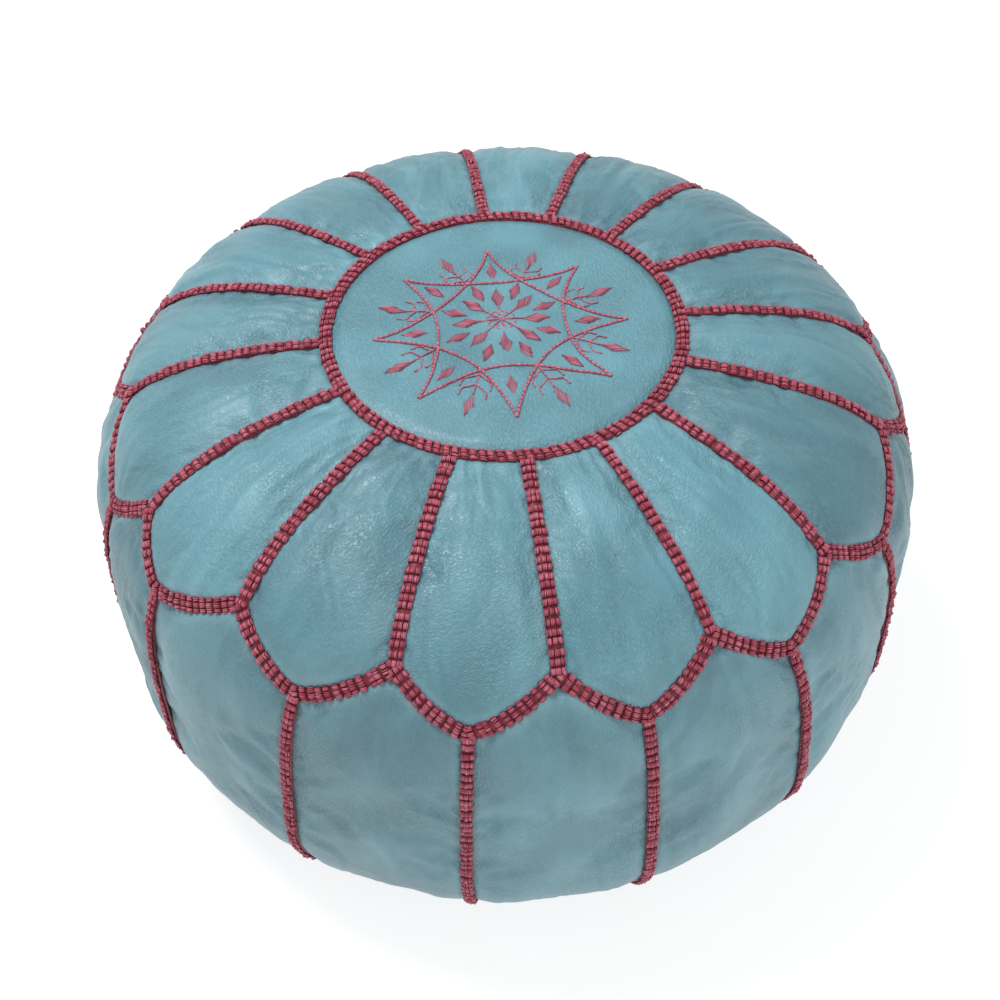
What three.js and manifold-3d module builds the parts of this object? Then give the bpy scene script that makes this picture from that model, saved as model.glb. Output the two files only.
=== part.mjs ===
// A round Moroccan pouf in leather: an embroidered medallion, sixteen petals and sixteen side panels
// with braided seams, a flat base in two halves joined by a zip, and a stuffed cotton insert inside.
// Millimetres, +Z up. The origin is the centre of the base, on the floor.
import * as THREE from "three";
import { mergeVertices } from "three/addons/utils/BufferGeometryUtils.js";
import Module from "manifold-3d";

const wasm = await Module();
wasm.setup();

// ---- Driving dimensions ------------------------------------------------------------------------

// The stuffed shape: a superellipse over the belly line, and a softer one under it.
const RADIUS = 270;
const HEIGHT = 310;
const BASE_RADIUS = 175;
const BELLY_HEIGHT = 103;
const SHOULDER_POWER = 4.05;
const BELLY_POWER = 1.9;

// The cover's panels. "Along" is the distance from the top centre, measured down the cover.
const PANELS = 16;
const FIRST_SEAM_DEG = -123.75;
const RING_ALONG = 110;
const PETAL_CORNER_ALONG = 246;
const PETAL_TIP_ALONG = 279;
const TIP_SHARPNESS = 1.35;
const LEATHER = 2.5;
const SEAM_DEPTH = 4;
const SEAM_GAP = 0.8;
const PANEL_STEPS_ACROSS = 4;
const PETAL_STEPS_DOWN = 6;
const SIDE_STEPS_DOWN = 7;

// How far each seam's ends stray round the cover, in degrees, as hand sewing leaves them.
const CORNER_SWAY = [-0.2, 1.3, 0.3, -0.5, -1.1, 3.5, 1.5, 0.5, 2, 0.8, 0.6, -0.6, -1.2, -1, -3, -0.9];
const TIP_SWAY = [-0.1, 0.1, -0.2, -1.2, -0.8, 0.6, 0.9, 0.2, -0.7, 0.5, 0.3, -0.6, 0.8, -0.4, 1.5, -3.6];
const HEM_SWAY = [-2.7, -0.6, 1.1, 3.9, 5, 3, 1, -1, 0.8, -0.6, 1.2, 0.4, -1.5, -2, -3, -4.8];
const FULL_SWAY_SHARE = 0.7;

// The braided thread that covers each seam.
const BRAID_WIDTH = 11;
const BRAID_GAP = 0.8;
const BRAID_CORNER_SHARE = 0.75;
const BRAID_END_RADIUS = 212;
const BRAID_SECTION = [
  [-BRAID_WIDTH / 2, 2.4],
  [0, 1.1],
  [BRAID_WIDTH / 2, 2.4],
  [BRAID_WIDTH / 2, 3.6],
  [0, 5],
  [-BRAID_WIDTH / 2, 3.6],
];
const RADIAL_BRAID_STEPS = 7;
const SIDE_BRAID_STEPS = 9;
const ZIGZAG_STEPS = 4;

// The embroidered star: two squares with hollow sides, one turned by an eighth. Its tips and the
// middle of its sides are shares of the ring's radius.
const STAR_TIP = 0.74;
const STAR_WAIST = 0.37;
const STAR_LINE = 1.8;
const STAR_LINE_HEIGHT = 0.9;
const STAR_LIFT = 0.7;
const STAR_STEPS = 5;
const STAR_FIRST_TIP_DEG = 11.25;

// The base: a flat disc whose leather rises to a shallow channel along the zip.
const CHANNEL_DEPTH = 7;
const CHANNEL_FLAT = 12;
const CHANNEL_FOOT = 25;
const CHANNEL_INSIDE_SHIFT = 1;
const BASE_EDGE_GAP = 0.8;

// The zip, across the base along X.
const ZIP_LENGTH = 300;
const ZIP_SLOT_HALF = 7;
const ZIP_SLOT_MARGIN = 2;
const ZIP_SPLIT_HALF = 0.3;
const TAPE_THICKNESS = 0.8;
const TAPE_EDGE = 13;
const TAPE_OVERRUN = 5;
const TAPE_GRIP = 0.4;
const TOOTH_PITCH = 4.2;
const TOOTH_LENGTH = 2.4;
const TOOTH_INNER = 0.8;
const TOOTH_ROOT = 3.2;
const TOOTH_OUTER = 4.2;
const TOOTH_HEIGHT = 3.6;
const SLIDER_LENGTH = 18;
const SLIDER_HALF_WIDTH = 6.2;
const SLIDER_BACK_SHARE = 0.7;
const SLIDER_NOSE = 2;
const SLIDER_WING = 1.2;
const SLIDER_CLEARANCE = 0.45;
const SLIDER_RAIL = 1;
const SLIDER_POST = 0.9;
const SLIDER_POST_LENGTH = 4;
const PIVOT_BOSS = 3.2;
const PIVOT_BOSS_HALF_WIDTH = 1.4;
const PIVOT_GAP = 0.5;
const PULL_LENGTH = 30;
const PULL_WIDTH = 8;
const PULL_THICKNESS = 1.4;
const PULL_CHEEK = 1.4;
const PULL_WINDOW_GAP = 1.5;
const PULL_PIN_RADIUS = 0.7;
const PULL_HOLE_RADIUS = 1.1;
const PULL_EYE_RADIUS = 1.9;

// The insert: a cotton bag with a filling slit, and the stuffing in it.
const INSERT_DEPTH = 12;
const INSERT_FLOOR = 16;
const INSERT_CLOTH = 1.5;
const INSERT_SLIT = [180, 9];
const STUFFING_GAP = 2;
const INSERT_STEPS = 10;
const ROUND_STEPS = 32;

// A gap that keeps touching solids apart.
const CLEARANCE = 0.3;

// ---- Materials ---------------------------------------------------------------------------------

function material(color, roughness, metalness = 0) {
  return new THREE.MeshStandardMaterial({ color, roughness, metalness });
}
const PETAL_LEATHER = material(0x71a4b0, 0.45);
const SIDE_LEATHER = material(0x6c8e98, 0.5);
const BASE_LEATHER = material(0x668a94, 0.55);
const BRAID_THREAD = material(0x963f53, 0.7);
const STAR_THREAD = material(0xa25a72, 0.6);
const ZIP_TAPE = material(0x33383b, 0.85);
const ZIP_METAL = material(0xb08d4c, 0.35, 1);
const COTTON = material(0xe6dfd0, 0.9);
const STUFFING = material(0xf1ece2, 0.95);

// ---- Solids and meshes -------------------------------------------------------------------------

const pouf = new THREE.Group();
pouf.name = "moroccan_pouf";

function addMesh(name, geometry, look) {
  const mesh = new THREE.Mesh(geometry, look);
  mesh.name = name;
  pouf.add(mesh);
}

function bareGeometry(positions, indices) {
  const geometry = new THREE.BufferGeometry();
  geometry.setAttribute("position", new THREE.Float32BufferAttribute(positions, 3));
  geometry.setIndex(indices);
  return geometry;
}

function solidOf(geometry) {
  const bare = new THREE.BufferGeometry();
  const flat = geometry.index ? geometry.toNonIndexed() : geometry;
  bare.setAttribute("position", flat.getAttribute("position"));
  const merged = mergeVertices(bare, 1e-4);
  const mesh = new wasm.Mesh({
    numProp: 3,
    vertProperties: new Float32Array(merged.attributes.position.array),
    triVerts: new Uint32Array(merged.index.array),
  });
  return new wasm.Manifold(mesh);
}

function geometryOf(solid) {
  const mesh = solid.getMesh();
  return bareGeometry(Array.from(mesh.vertProperties), Array.from(mesh.triVerts));
}

function boxSolid(low, high) {
  const size = high.map((value, axis) => value - low[axis]);
  const middle = high.map((value, axis) => (value + low[axis]) / 2);
  return solidOf(new THREE.BoxGeometry(...size).translate(...middle));
}

// An outline in the plane of Y and Z, extruded along X from one end to the other.
function barAlongX(outline, start, end) {
  const shape = new THREE.Shape(outline.map(([y, z]) => new THREE.Vector2(y, z)));
  const geometry = new THREE.ExtrudeGeometry(shape, { depth: end - start, bevelEnabled: false });
  const toX = new THREE.Matrix4().makeBasis(
    new THREE.Vector3(0, 1, 0),
    new THREE.Vector3(0, 0, 1),
    new THREE.Vector3(1, 0, 0),
  );
  return solidOf(geometry.applyMatrix4(toX).translate(start, 0, 0));
}

// ---- The cover's surface -----------------------------------------------------------------------

// The outline of the stuffed pouf from the top centre to the edge of the base, as radius and height.
class Meridian extends THREE.Curve {
  getPoint(t, target = new THREE.Vector2()) {
    const above = t < 0.5;
    const angle = Math.abs(1 - 2 * t) * (Math.PI / 2);
    const reach = above ? RADIUS : RADIUS - BASE_RADIUS;
    const rise = above ? HEIGHT - BELLY_HEIGHT : BELLY_HEIGHT;
    const power = above ? SHOULDER_POWER : BELLY_POWER;
    const c = Math.abs(Math.cos(angle));
    const s = Math.abs(Math.sin(angle));
    const scale = ((c / reach) ** power + (s / rise) ** power) ** (-1 / power);
    const radius = scale * c + (above ? 0 : BASE_RADIUS);
    const height = BELLY_HEIGHT + (above ? 1 : -1) * scale * s;
    return target.set(radius, height);
  }
}
const meridian = new Meridian();
meridian.arcLengthDivisions = 600;
const MERIDIAN_LENGTH = meridian.getLength();

// Radius and height at a distance along the meridian, lifted along its outward normal.
function profileAt(along, lift = 0) {
  const u = THREE.MathUtils.clamp(along / MERIDIAN_LENGTH, 0, 1);
  const point = meridian.getPointAt(u);
  const tangent = meridian.getTangentAt(u);
  return new THREE.Vector2(point.x - tangent.y * lift, point.y + tangent.x * lift);
}

function onCover(turn, along, lift = 0) {
  const { x: radius, y: height } = profileAt(along, lift);
  return new THREE.Vector3(radius * Math.cos(turn), radius * Math.sin(turn), height);
}

const TURN_STEP = (2 * Math.PI) / PANELS;
const FIRST_SEAM = THREE.MathUtils.degToRad(FIRST_SEAM_DEG);

function seamTurn(index) {
  return FIRST_SEAM + index * TURN_STEP;
}

// The distance along the meridian at which its lower half has a given radius.
function alongAtLowerRadius(radius) {
  let low = PETAL_TIP_ALONG;
  let high = MERIDIAN_LENGTH;
  for (let pass = 0; pass < 40; pass += 1) {
    const middle = (low + high) / 2;
    const point = profileAt(middle);
    const past = point.y < BELLY_HEIGHT && point.x < radius;
    [low, high] = past ? [low, middle] : [middle, high];
  }
  return low;
}

// An edge of the panels gives the turn and the distance along at a place. Whole places are the seams
// between petals, and half places are the seams between side panels.
function strayTurn(place, atSeams, atMiddles) {
  const low = Math.floor(place * 2) / 2;
  const stray = (at) => {
    const index = ((Math.floor(at) % PANELS) + PANELS) % PANELS;
    return Number.isInteger(at) ? atSeams[index] : atMiddles[index];
  };
  const degrees = THREE.MathUtils.lerp(stray(low), stray(low + 0.5), (place - low) * 2);
  return seamTurn(place) + THREE.MathUtils.degToRad(degrees);
}

function ringEdge(place) {
  return [seamTurn(place), RING_ALONG];
}

// The lower edge of the petals: a point at each petal's middle, a corner at each seam.
function scallopEdge(place) {
  const share = Math.abs(2 * (place - Math.floor(place)) - 1);
  const along = THREE.MathUtils.lerp(PETAL_TIP_ALONG, PETAL_CORNER_ALONG, share ** TIP_SHARPNESS);
  return [strayTurn(place, CORNER_SWAY, TIP_SWAY), along];
}

const hemBetween = HEM_SWAY.map((sway, index) => (sway + HEM_SWAY.at(index - 1)) / 2);
function hemEdge(place) {
  return [strayTurn(place, hemBetween, HEM_SWAY), MERIDIAN_LENGTH];
}

// The point a share of the way from one edge to another at one place. A side seam strays on its way
// down the belly and runs straight under it.
function between(topEdge, bottomEdge, place, share) {
  const [topTurn, top] = topEdge(place);
  const [bottomTurn, bottom] = bottomEdge(place);
  const { lerp } = THREE.MathUtils;
  const onSide = Math.sin((Math.min(1, share / FULL_SWAY_SHARE) * Math.PI) / 2);
  const turnShare = bottomEdge === hemEdge ? onSide : share;
  return [lerp(topTurn, bottomTurn, turnShare), lerp(top, bottom, share)];
}

// A closed sheet from a grid of points on its outer face and one on its inner face.
function sheet(outer, inner) {
  const rows = outer.length;
  const width = outer[0].length;
  const positions = [outer, inner].flat(2).flatMap((point) => point.toArray());
  const indices = [];
  const layer = width * rows;
  const quad = (a, b, c, d) => indices.push(a, b, c, a, c, d);
  for (let row = 0; row < rows - 1; row += 1) {
    for (let column = 0; column < width - 1; column += 1) {
      const a = row * width + column;
      quad(a, a + width, a + width + 1, a + 1);
      quad(layer + a, layer + a + 1, layer + a + width + 1, layer + a + width);
    }
    const left = row * width;
    const right = left + width - 1;
    quad(left, left + layer, left + layer + width, left + width);
    quad(right, right + width, right + layer + width, right + layer);
  }
  for (let column = 0; column < width - 1; column += 1) {
    quad(column, column + 1, column + 1 + layer, column + layer);
    const low = (rows - 1) * width + column;
    quad(low, low + layer, low + layer + 1, low + 1);
  }
  return bareGeometry(positions, indices);
}

// A panel of leather one place wide between two edges, crowned between its seams.
function panel(startPlace, topEdge, bottomEdge, stepsDown) {
  const grid = (depth) => {
    const points = [];
    for (let row = 0; row <= stepsDown; row += 1) {
      const line = [];
      for (let column = 0; column <= PANEL_STEPS_ACROSS; column += 1) {
        const u = column / PANEL_STEPS_ACROSS;
        const v = row / stepsDown;
        const [turn, along] = between(topEdge, bottomEdge, startPlace + u, v);
        const gapTurn = (SEAM_GAP * (0.5 - u)) / profileAt(along).x;
        const crown = Math.sqrt(Math.max(0, Math.sin(Math.PI * u) * Math.sin(Math.PI * v)));
        const lift = -SEAM_DEPTH * (1 - crown) - depth;
        line.push(onCover(turn + gapTurn, along + SEAM_GAP * (0.5 - v), lift));
      }
      points.push(line);
    }
    return points;
  };
  return sheet(grid(0), grid(LEATHER));
}

// A band with the braid's section along a path of turns and distances down the cover.
function band(path, section, closed, floorLift) {
  const positions = [];
  const indices = [];
  const count = path.length;
  const sides = section.length;
  path.forEach(([turn, along], index) => {
    const before = path[closed ? (index + count - 1) % count : Math.max(index - 1, 0)];
    const after = path[closed ? (index + 1) % count : Math.min(index + 1, count - 1)];
    const here = onCover(turn, along);
    const up = onCover(turn, along, 1).sub(here).normalize();
    const arrive = here.clone().sub(onCover(...before));
    const leave = onCover(...after).sub(here);
    const forward = arrive.normalize().add(leave.clone().normalize()).normalize();
    const side = forward.clone().cross(up).normalize();
    const bend = leave.lengthSq() ? leave.normalize().dot(forward) : 1;
    const mitre = index === count - 1 && !closed ? 1 : 1 / Math.max(bend, 0.5);
    for (const [across, lift] of section) {
      const offset = side.clone().multiplyScalar(across * mitre);
      offset.addScaledVector(up, lift + floorLift);
      positions.push(...here.clone().add(offset).toArray());
    }
  });
  const rings = closed ? count : count - 1;
  for (let ring = 0; ring < rings; ring += 1) {
    for (let k = 0; k < sides; k += 1) {
      const a = ring * sides + k;
      const b = ring * sides + ((k + 1) % sides);
      const c = ((ring + 1) % count) * sides + ((k + 1) % sides);
      const d = ((ring + 1) % count) * sides + k;
      indices.push(a, d, c, a, c, b);
    }
  }
  if (!closed) {
    const last = (count - 1) * sides;
    for (let k = 1; k < sides - 1; k += 1) {
      indices.push(0, k, k + 1);
      indices.push(last, last + k + 1, last + k);
    }
  }
  return bareGeometry(positions, indices);
}

// A solid of revolution from a profile of radius and height that starts and ends on the axis.
function turned(profile) {
  const points = profile.map(([radius, height]) => new THREE.Vector2(Math.max(radius, 0), height));
  const geometry = new THREE.LatheGeometry(points, ROUND_STEPS);
  return geometry.rotateX(Math.PI / 2);
}

// ---- Cover panels ------------------------------------------------------------------------------

const number = (index) => String(index + 1).padStart(2, "0");

function medallion() {
  const edge = RING_ALONG - SEAM_GAP / 2;
  const stops = [0, 0.5, 0.75, 0.9, 1];
  const liftAt = (stop) => -SEAM_DEPTH * stop ** 6;
  const outer = stops.map((stop) => profileAt(stop * edge, liftAt(stop)).toArray());
  const inner = stops.map((stop) => profileAt(stop * edge, liftAt(stop) - LEATHER).toArray());
  return turned([...inner, ...outer.reverse()]);
}
addMesh("top_medallion", medallion(), PETAL_LEATHER);

for (let index = 0; index < PANELS; index += 1) {
  const petal = panel(index, ringEdge, scallopEdge, PETAL_STEPS_DOWN);
  addMesh(`petal_${number(index)}`, petal, PETAL_LEATHER);
}

for (let index = 0; index < PANELS; index += 1) {
  const side = panel(index - 0.5, scallopEdge, hemEdge, SIDE_STEPS_DOWN);
  addMesh(`side_panel_${number(index)}`, side, SIDE_LEATHER);
}

// ---- Braided seams -----------------------------------------------------------------------------

const seamFloor = -SEAM_DEPTH;
const halfBraid = BRAID_WIDTH / 2;

function loopPath(edge, stepsPerPlace) {
  const count = Math.round(PANELS * stepsPerPlace);
  return Array.from({ length: count }, (_, step) => edge(step / stepsPerPlace));
}

function seamPath(topEdge, bottomEdge, place, startShare, endShare, steps) {
  const share = (step) => THREE.MathUtils.lerp(startShare, endShare, step / steps);
  const places = Array.from({ length: steps + 1 }, (_, step) => share(step));
  return places.map((at) => between(topEdge, bottomEdge, place, at));
}

const ringPath = loopPath(ringEdge, ROUND_STEPS / PANELS);
addMesh("ring_braid", band(ringPath, BRAID_SECTION, true, seamFloor), BRAID_THREAD);

const petalLength = PETAL_CORNER_ALONG - RING_ALONG;
const radialStart = (halfBraid + BRAID_GAP) / petalLength;
const radialEnd = 1 - (BRAID_WIDTH * BRAID_CORNER_SHARE + BRAID_GAP) / petalLength;
for (let index = 0; index < PANELS; index += 1) {
  const shares = [radialStart, radialEnd];
  const path = seamPath(ringEdge, scallopEdge, index, ...shares, RADIAL_BRAID_STEPS);
  const radial = band(path, BRAID_SECTION, false, seamFloor);
  addMesh(`radial_braid_${number(index)}`, radial, BRAID_THREAD);
}

// One lattice: the zigzag under the petals and the sixteen braids that run down the sides from it.
function sideBraid() {
  const zigzag = band(loopPath(scallopEdge, ZIGZAG_STEPS), BRAID_SECTION, true, seamFloor);
  const sideLength = MERIDIAN_LENGTH - PETAL_TIP_ALONG;
  const end = (alongAtLowerRadius(BRAID_END_RADIUS) - PETAL_TIP_ALONG) / sideLength;
  let lattice = solidOf(zigzag);
  for (let index = 0; index < PANELS; index += 1) {
    const shares = [1 / sideLength, end];
    const path = seamPath(scallopEdge, hemEdge, index + 0.5, ...shares, SIDE_BRAID_STEPS);
    lattice = lattice.add(solidOf(band(path, BRAID_SECTION, false, seamFloor)));
  }
  return geometryOf(lattice);
}
addMesh("scallop_side_braid", sideBraid(), BRAID_THREAD);

// ---- Embroidered star --------------------------------------------------------------------------

function starSquare(firstTip) {
  const path = [];
  const corner = (index, scale) => {
    const turn = firstTip + (index * Math.PI) / 2;
    return new THREE.Vector2(Math.cos(turn), Math.sin(turn)).multiplyScalar(scale * RING_ALONG);
  };
  for (let index = 0; index < 4; index += 1) {
    const start = corner(index, STAR_TIP);
    const end = corner(index + 1, STAR_TIP);
    const pull = corner(index + 0.5, 2 * STAR_WAIST - STAR_TIP * Math.SQRT1_2);
    const side = new THREE.QuadraticBezierCurve(start, pull, end);
    for (let step = 0; step < STAR_STEPS; step += 1) {
      const point = side.getPoint(step / STAR_STEPS);
      path.push([point.angle(), point.length()]);
    }
  }
  const half = STAR_LINE / 2;
  const section = [
    [-half, 0],
    [half, 0],
    [half, STAR_LINE_HEIGHT],
    [-half, STAR_LINE_HEIGHT],
  ];
  return solidOf(band(path, section, true, STAR_LIFT));
}
const firstTip = THREE.MathUtils.degToRad(STAR_FIRST_TIP_DEG);
const star = starSquare(firstTip).add(starSquare(firstTip + Math.PI / 4));
addMesh("star_embroidery", geometryOf(star), STAR_THREAD);

// ---- Base --------------------------------------------------------------------------------------

const channelTop = CHANNEL_DEPTH + LEATHER;
const baseDiscRadius = BASE_RADIUS - BASE_EDGE_GAP;

function baseHalf(sign) {
  const outline = [
    [ZIP_SPLIT_HALF, CHANNEL_DEPTH],
    [CHANNEL_FLAT, CHANNEL_DEPTH],
    [CHANNEL_FOOT, 0],
    [BASE_RADIUS, 0],
    [BASE_RADIUS, LEATHER],
    [CHANNEL_FOOT + CHANNEL_INSIDE_SHIFT, LEATHER],
    [CHANNEL_FLAT + CHANNEL_INSIDE_SHIFT, channelTop],
    [ZIP_SPLIT_HALF, channelTop],
  ];
  const bar = barAlongX(outline.map(([y, z]) => [sign * y, z]), -BASE_RADIUS, BASE_RADIUS);
  const cylinder = new THREE.CylinderGeometry(baseDiscRadius, baseDiscRadius, 3 * channelTop, 64);
  const slotX = ZIP_LENGTH / 2 + ZIP_SLOT_MARGIN;
  const slot = boxSolid([-slotX, -ZIP_SLOT_HALF, -1], [slotX, ZIP_SLOT_HALF, channelTop + 1]);
  return geometryOf(bar.intersect(solidOf(cylinder.rotateX(Math.PI / 2))).subtract(slot));
}
addMesh("base_half_front", baseHalf(-1), BASE_LEATHER);
addMesh("base_half_back", baseHalf(1), BASE_LEATHER);

// ---- Zip ---------------------------------------------------------------------------------------

const tapeBottom = channelTop + CLEARANCE;
const tapeTop = tapeBottom + TAPE_THICKNESS;
const toothMiddle = (tapeBottom + tapeTop) / 2;
const toothBottom = toothMiddle - TOOTH_HEIGHT / 2;
const toothTop = toothMiddle + TOOTH_HEIGHT / 2;

// One side of the zip: a comb of moulded teeth on the edge of a woven tape.
function stringer(sign) {
  const start = -ZIP_LENGTH / 2 + (sign > 0 ? 0 : TOOTH_PITCH / 2);
  const count = Math.floor(ZIP_LENGTH / TOOTH_PITCH);
  const comb = [];
  for (let index = 0; index < count; index += 1) {
    const x = start + index * TOOTH_PITCH;
    comb.push([x, TOOTH_ROOT], [x, TOOTH_INNER]);
    comb.push([x + TOOTH_LENGTH, TOOTH_INNER], [x + TOOTH_LENGTH, TOOTH_ROOT]);
  }
  const combEnd = start + (count - 1) * TOOTH_PITCH + TOOTH_LENGTH;
  comb.push([combEnd, TOOTH_OUTER], [start, TOOTH_OUTER]);
  const shape = new THREE.Shape(comb.map(([x, y]) => new THREE.Vector2(x, sign * y)));
  const settings = { depth: TOOTH_HEIGHT, bevelEnabled: false };
  const teeth = new THREE.ExtrudeGeometry(shape, settings).translate(0, 0, toothBottom);
  const tapeEnd = ZIP_LENGTH / 2 + TAPE_OVERRUN;
  const edges = [sign * (TOOTH_OUTER - TAPE_GRIP), sign * TAPE_EDGE];
  const tapeLow = [-tapeEnd, Math.min(...edges), tapeBottom];
  const tape = boxSolid(tapeLow, [tapeEnd, Math.max(...edges), tapeTop]);
  return geometryOf(solidOf(teeth).add(tape));
}
addMesh("zip_stringer_front", stringer(-1), ZIP_TAPE);
addMesh("zip_stringer_back", stringer(1), ZIP_TAPE);

const sliderFront = ZIP_LENGTH / 2 - 2;
const sliderBack = sliderFront - SLIDER_LENGTH;
const lowerWingTop = toothBottom - SLIDER_CLEARANCE;
const lowerWingBottom = lowerWingTop - SLIDER_WING;
const upperWingBottom = toothTop + SLIDER_CLEARANCE;
const upperWingTop = upperWingBottom + SLIDER_WING;
const pivotHeight = lowerWingBottom - PULL_THICKNESS / 2 - PIVOT_GAP;
const pivotX = sliderFront - SLIDER_LENGTH / 2;

function cylinderAlongY(radius, length, x, z) {
  const geometry = new THREE.CylinderGeometry(radius, radius, length, 16);
  return solidOf(geometry.translate(x, 0, z));
}

// A plate in the plane of X and Y, from an outline of its half with y above zero.
function plate(halfOutline, bottom, top) {
  const mirrored = [...halfOutline].reverse().map(([x, y]) => [x, -y]);
  const points = [...halfOutline, ...mirrored].map(([x, y]) => new THREE.Vector2(x, y));
  const settings = { depth: top - bottom, bevelEnabled: false };
  const geometry = new THREE.ExtrudeGeometry(new THREE.Shape(points), settings);
  return solidOf(geometry.translate(0, 0, bottom));
}

function slider() {
  const width = SLIDER_HALF_WIDTH;
  const railBack = sliderBack + SLIDER_LENGTH / 3;
  const railFront = sliderFront - SLIDER_NOSE;
  const wing = [
    [sliderBack, width * SLIDER_BACK_SHARE],
    [railBack, width],
    [railFront, width],
    [sliderFront, width - SLIDER_NOSE],
  ];
  const lower = plate(wing, lowerWingBottom, lowerWingTop);
  const upper = plate(wing, upperWingBottom, upperWingTop);
  const half = SLIDER_POST / 2;
  const post = boxSolid(
    [railFront - SLIDER_POST_LENGTH, -half, lowerWingBottom],
    [railFront, half, upperWingTop],
  );
  let solid = lower.add(upper).add(post);
  for (const sign of [-1, 1]) {
    const [low, high] = [width - SLIDER_RAIL, width].map((y) => sign * y).sort((a, b) => a - b);
    const under = [lowerWingBottom, tapeBottom - SLIDER_CLEARANCE];
    const over = [tapeTop + SLIDER_CLEARANCE, upperWingTop];
    for (const [bottom, top] of [under, over]) {
      solid = solid.add(boxSolid([railBack, low, bottom], [railFront, high, top]));
    }
  }
  const boss = boxSolid(
    [pivotX - PIVOT_BOSS / 2, -PIVOT_BOSS_HALF_WIDTH, pivotHeight - PIVOT_BOSS / 2],
    [pivotX + PIVOT_BOSS / 2, PIVOT_BOSS_HALF_WIDTH, (lowerWingBottom + lowerWingTop) / 2],
  );
  const bore = cylinderAlongY(PULL_HOLE_RADIUS, PULL_WIDTH, pivotX, pivotHeight);
  return geometryOf(solid.add(boss).subtract(bore));
}
addMesh("zip_slider", slider(), ZIP_METAL);

function pullTab() {
  const half = PULL_WIDTH / 2;
  const bottom = pivotHeight - PULL_THICKNESS / 2;
  const top = pivotHeight + PULL_THICKNESS / 2;
  const tip = pivotX - PULL_LENGTH;
  const outline = [[pivotX + PULL_THICKNESS / 2, half]];
  outline.push([tip + half, half]);
  for (let step = 1; step < 6; step += 1) {
    const angle = ((step / 6) * Math.PI) / 2;
    outline.push([tip + half - half * Math.sin(angle), half * Math.cos(angle)]);
  }
  const body = plate(outline, bottom, top);
  const windowEnd = pivotX - PIVOT_BOSS / 2 - PULL_WINDOW_GAP;
  const window = boxSolid(
    [windowEnd, PULL_CHEEK - half, bottom - 1],
    [pivotX + PULL_THICKNESS, half - PULL_CHEEK, top + 1],
  );
  const eye = new THREE.CylinderGeometry(PULL_EYE_RADIUS, PULL_EYE_RADIUS, 6, 16);
  eye.rotateX(Math.PI / 2).translate(tip + half, 0, pivotHeight);
  const pin = cylinderAlongY(PULL_PIN_RADIUS, PULL_WIDTH - 1, pivotX, pivotHeight);
  return geometryOf(body.subtract(window).subtract(solidOf(eye)).add(pin));
}
addMesh("zip_pull_tab", pullTab(), ZIP_METAL);

// ---- Insert ------------------------------------------------------------------------------------

// A closed round shape that follows the cover at a depth under it, with a flat floor.
function insertProfile(depth, floor) {
  const outline = [];
  for (let step = 0; step <= INSERT_STEPS; step += 1) {
    const along = (step / INSERT_STEPS) * MERIDIAN_LENGTH;
    const point = profileAt(along, -depth);
    if (point.y > floor + 1) outline.push([point.x, point.y]);
  }
  const [lastRadius, lastHeight] = outline[outline.length - 1];
  outline.push([lastRadius - (lastHeight - floor), floor]);
  outline.push([0, floor]);
  return outline.reverse();
}

const outerBag = solidOf(turned(insertProfile(INSERT_DEPTH, INSERT_FLOOR)));
const innerDepth = INSERT_DEPTH + INSERT_CLOTH;
const innerBag = solidOf(turned(insertProfile(innerDepth, INSERT_FLOOR + INSERT_CLOTH)));
const [slitLength, slitWidth] = INSERT_SLIT;
const slit = boxSolid(
  [-slitLength / 2, -slitWidth / 2, INSERT_FLOOR - 1],
  [slitLength / 2, slitWidth / 2, INSERT_FLOOR + INSERT_CLOTH + 1],
);
addMesh("insert_bag", geometryOf(outerBag.subtract(innerBag).subtract(slit)), COTTON);

const stuffingDepth = innerDepth + STUFFING_GAP;
const stuffingFloor = INSERT_FLOOR + INSERT_CLOTH + STUFFING_GAP;
addMesh("filling", turned(insertProfile(stuffingDepth, stuffingFloor)), STUFFING);

export default pouf;
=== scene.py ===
import math

import bpy
import numpy as np
from mathutils import Matrix, Vector


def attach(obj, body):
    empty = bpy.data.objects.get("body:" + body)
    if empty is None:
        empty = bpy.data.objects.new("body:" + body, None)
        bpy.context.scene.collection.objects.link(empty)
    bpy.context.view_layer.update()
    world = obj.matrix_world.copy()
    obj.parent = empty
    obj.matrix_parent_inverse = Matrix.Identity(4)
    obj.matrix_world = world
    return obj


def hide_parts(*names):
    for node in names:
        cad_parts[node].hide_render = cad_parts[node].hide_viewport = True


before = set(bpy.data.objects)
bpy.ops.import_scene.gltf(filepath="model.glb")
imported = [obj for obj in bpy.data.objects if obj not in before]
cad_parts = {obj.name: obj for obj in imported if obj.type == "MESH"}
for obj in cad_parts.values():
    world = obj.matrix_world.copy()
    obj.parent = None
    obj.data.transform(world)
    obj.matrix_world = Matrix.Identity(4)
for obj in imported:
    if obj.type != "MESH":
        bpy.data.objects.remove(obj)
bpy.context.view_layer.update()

# Lengths are in millimetres until a mesh is made, because the CAD source is in millimetres too.
MM = 0.001
PI = math.pi

# ------ The CAD's driving dimensions ------

RADIUS = 270.0
HEIGHT = 310.0
BASE_RADIUS = 175.0
BELLY_HEIGHT = 103.0
SHOULDER_POWER = 4.05
BELLY_POWER = 1.9

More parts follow.
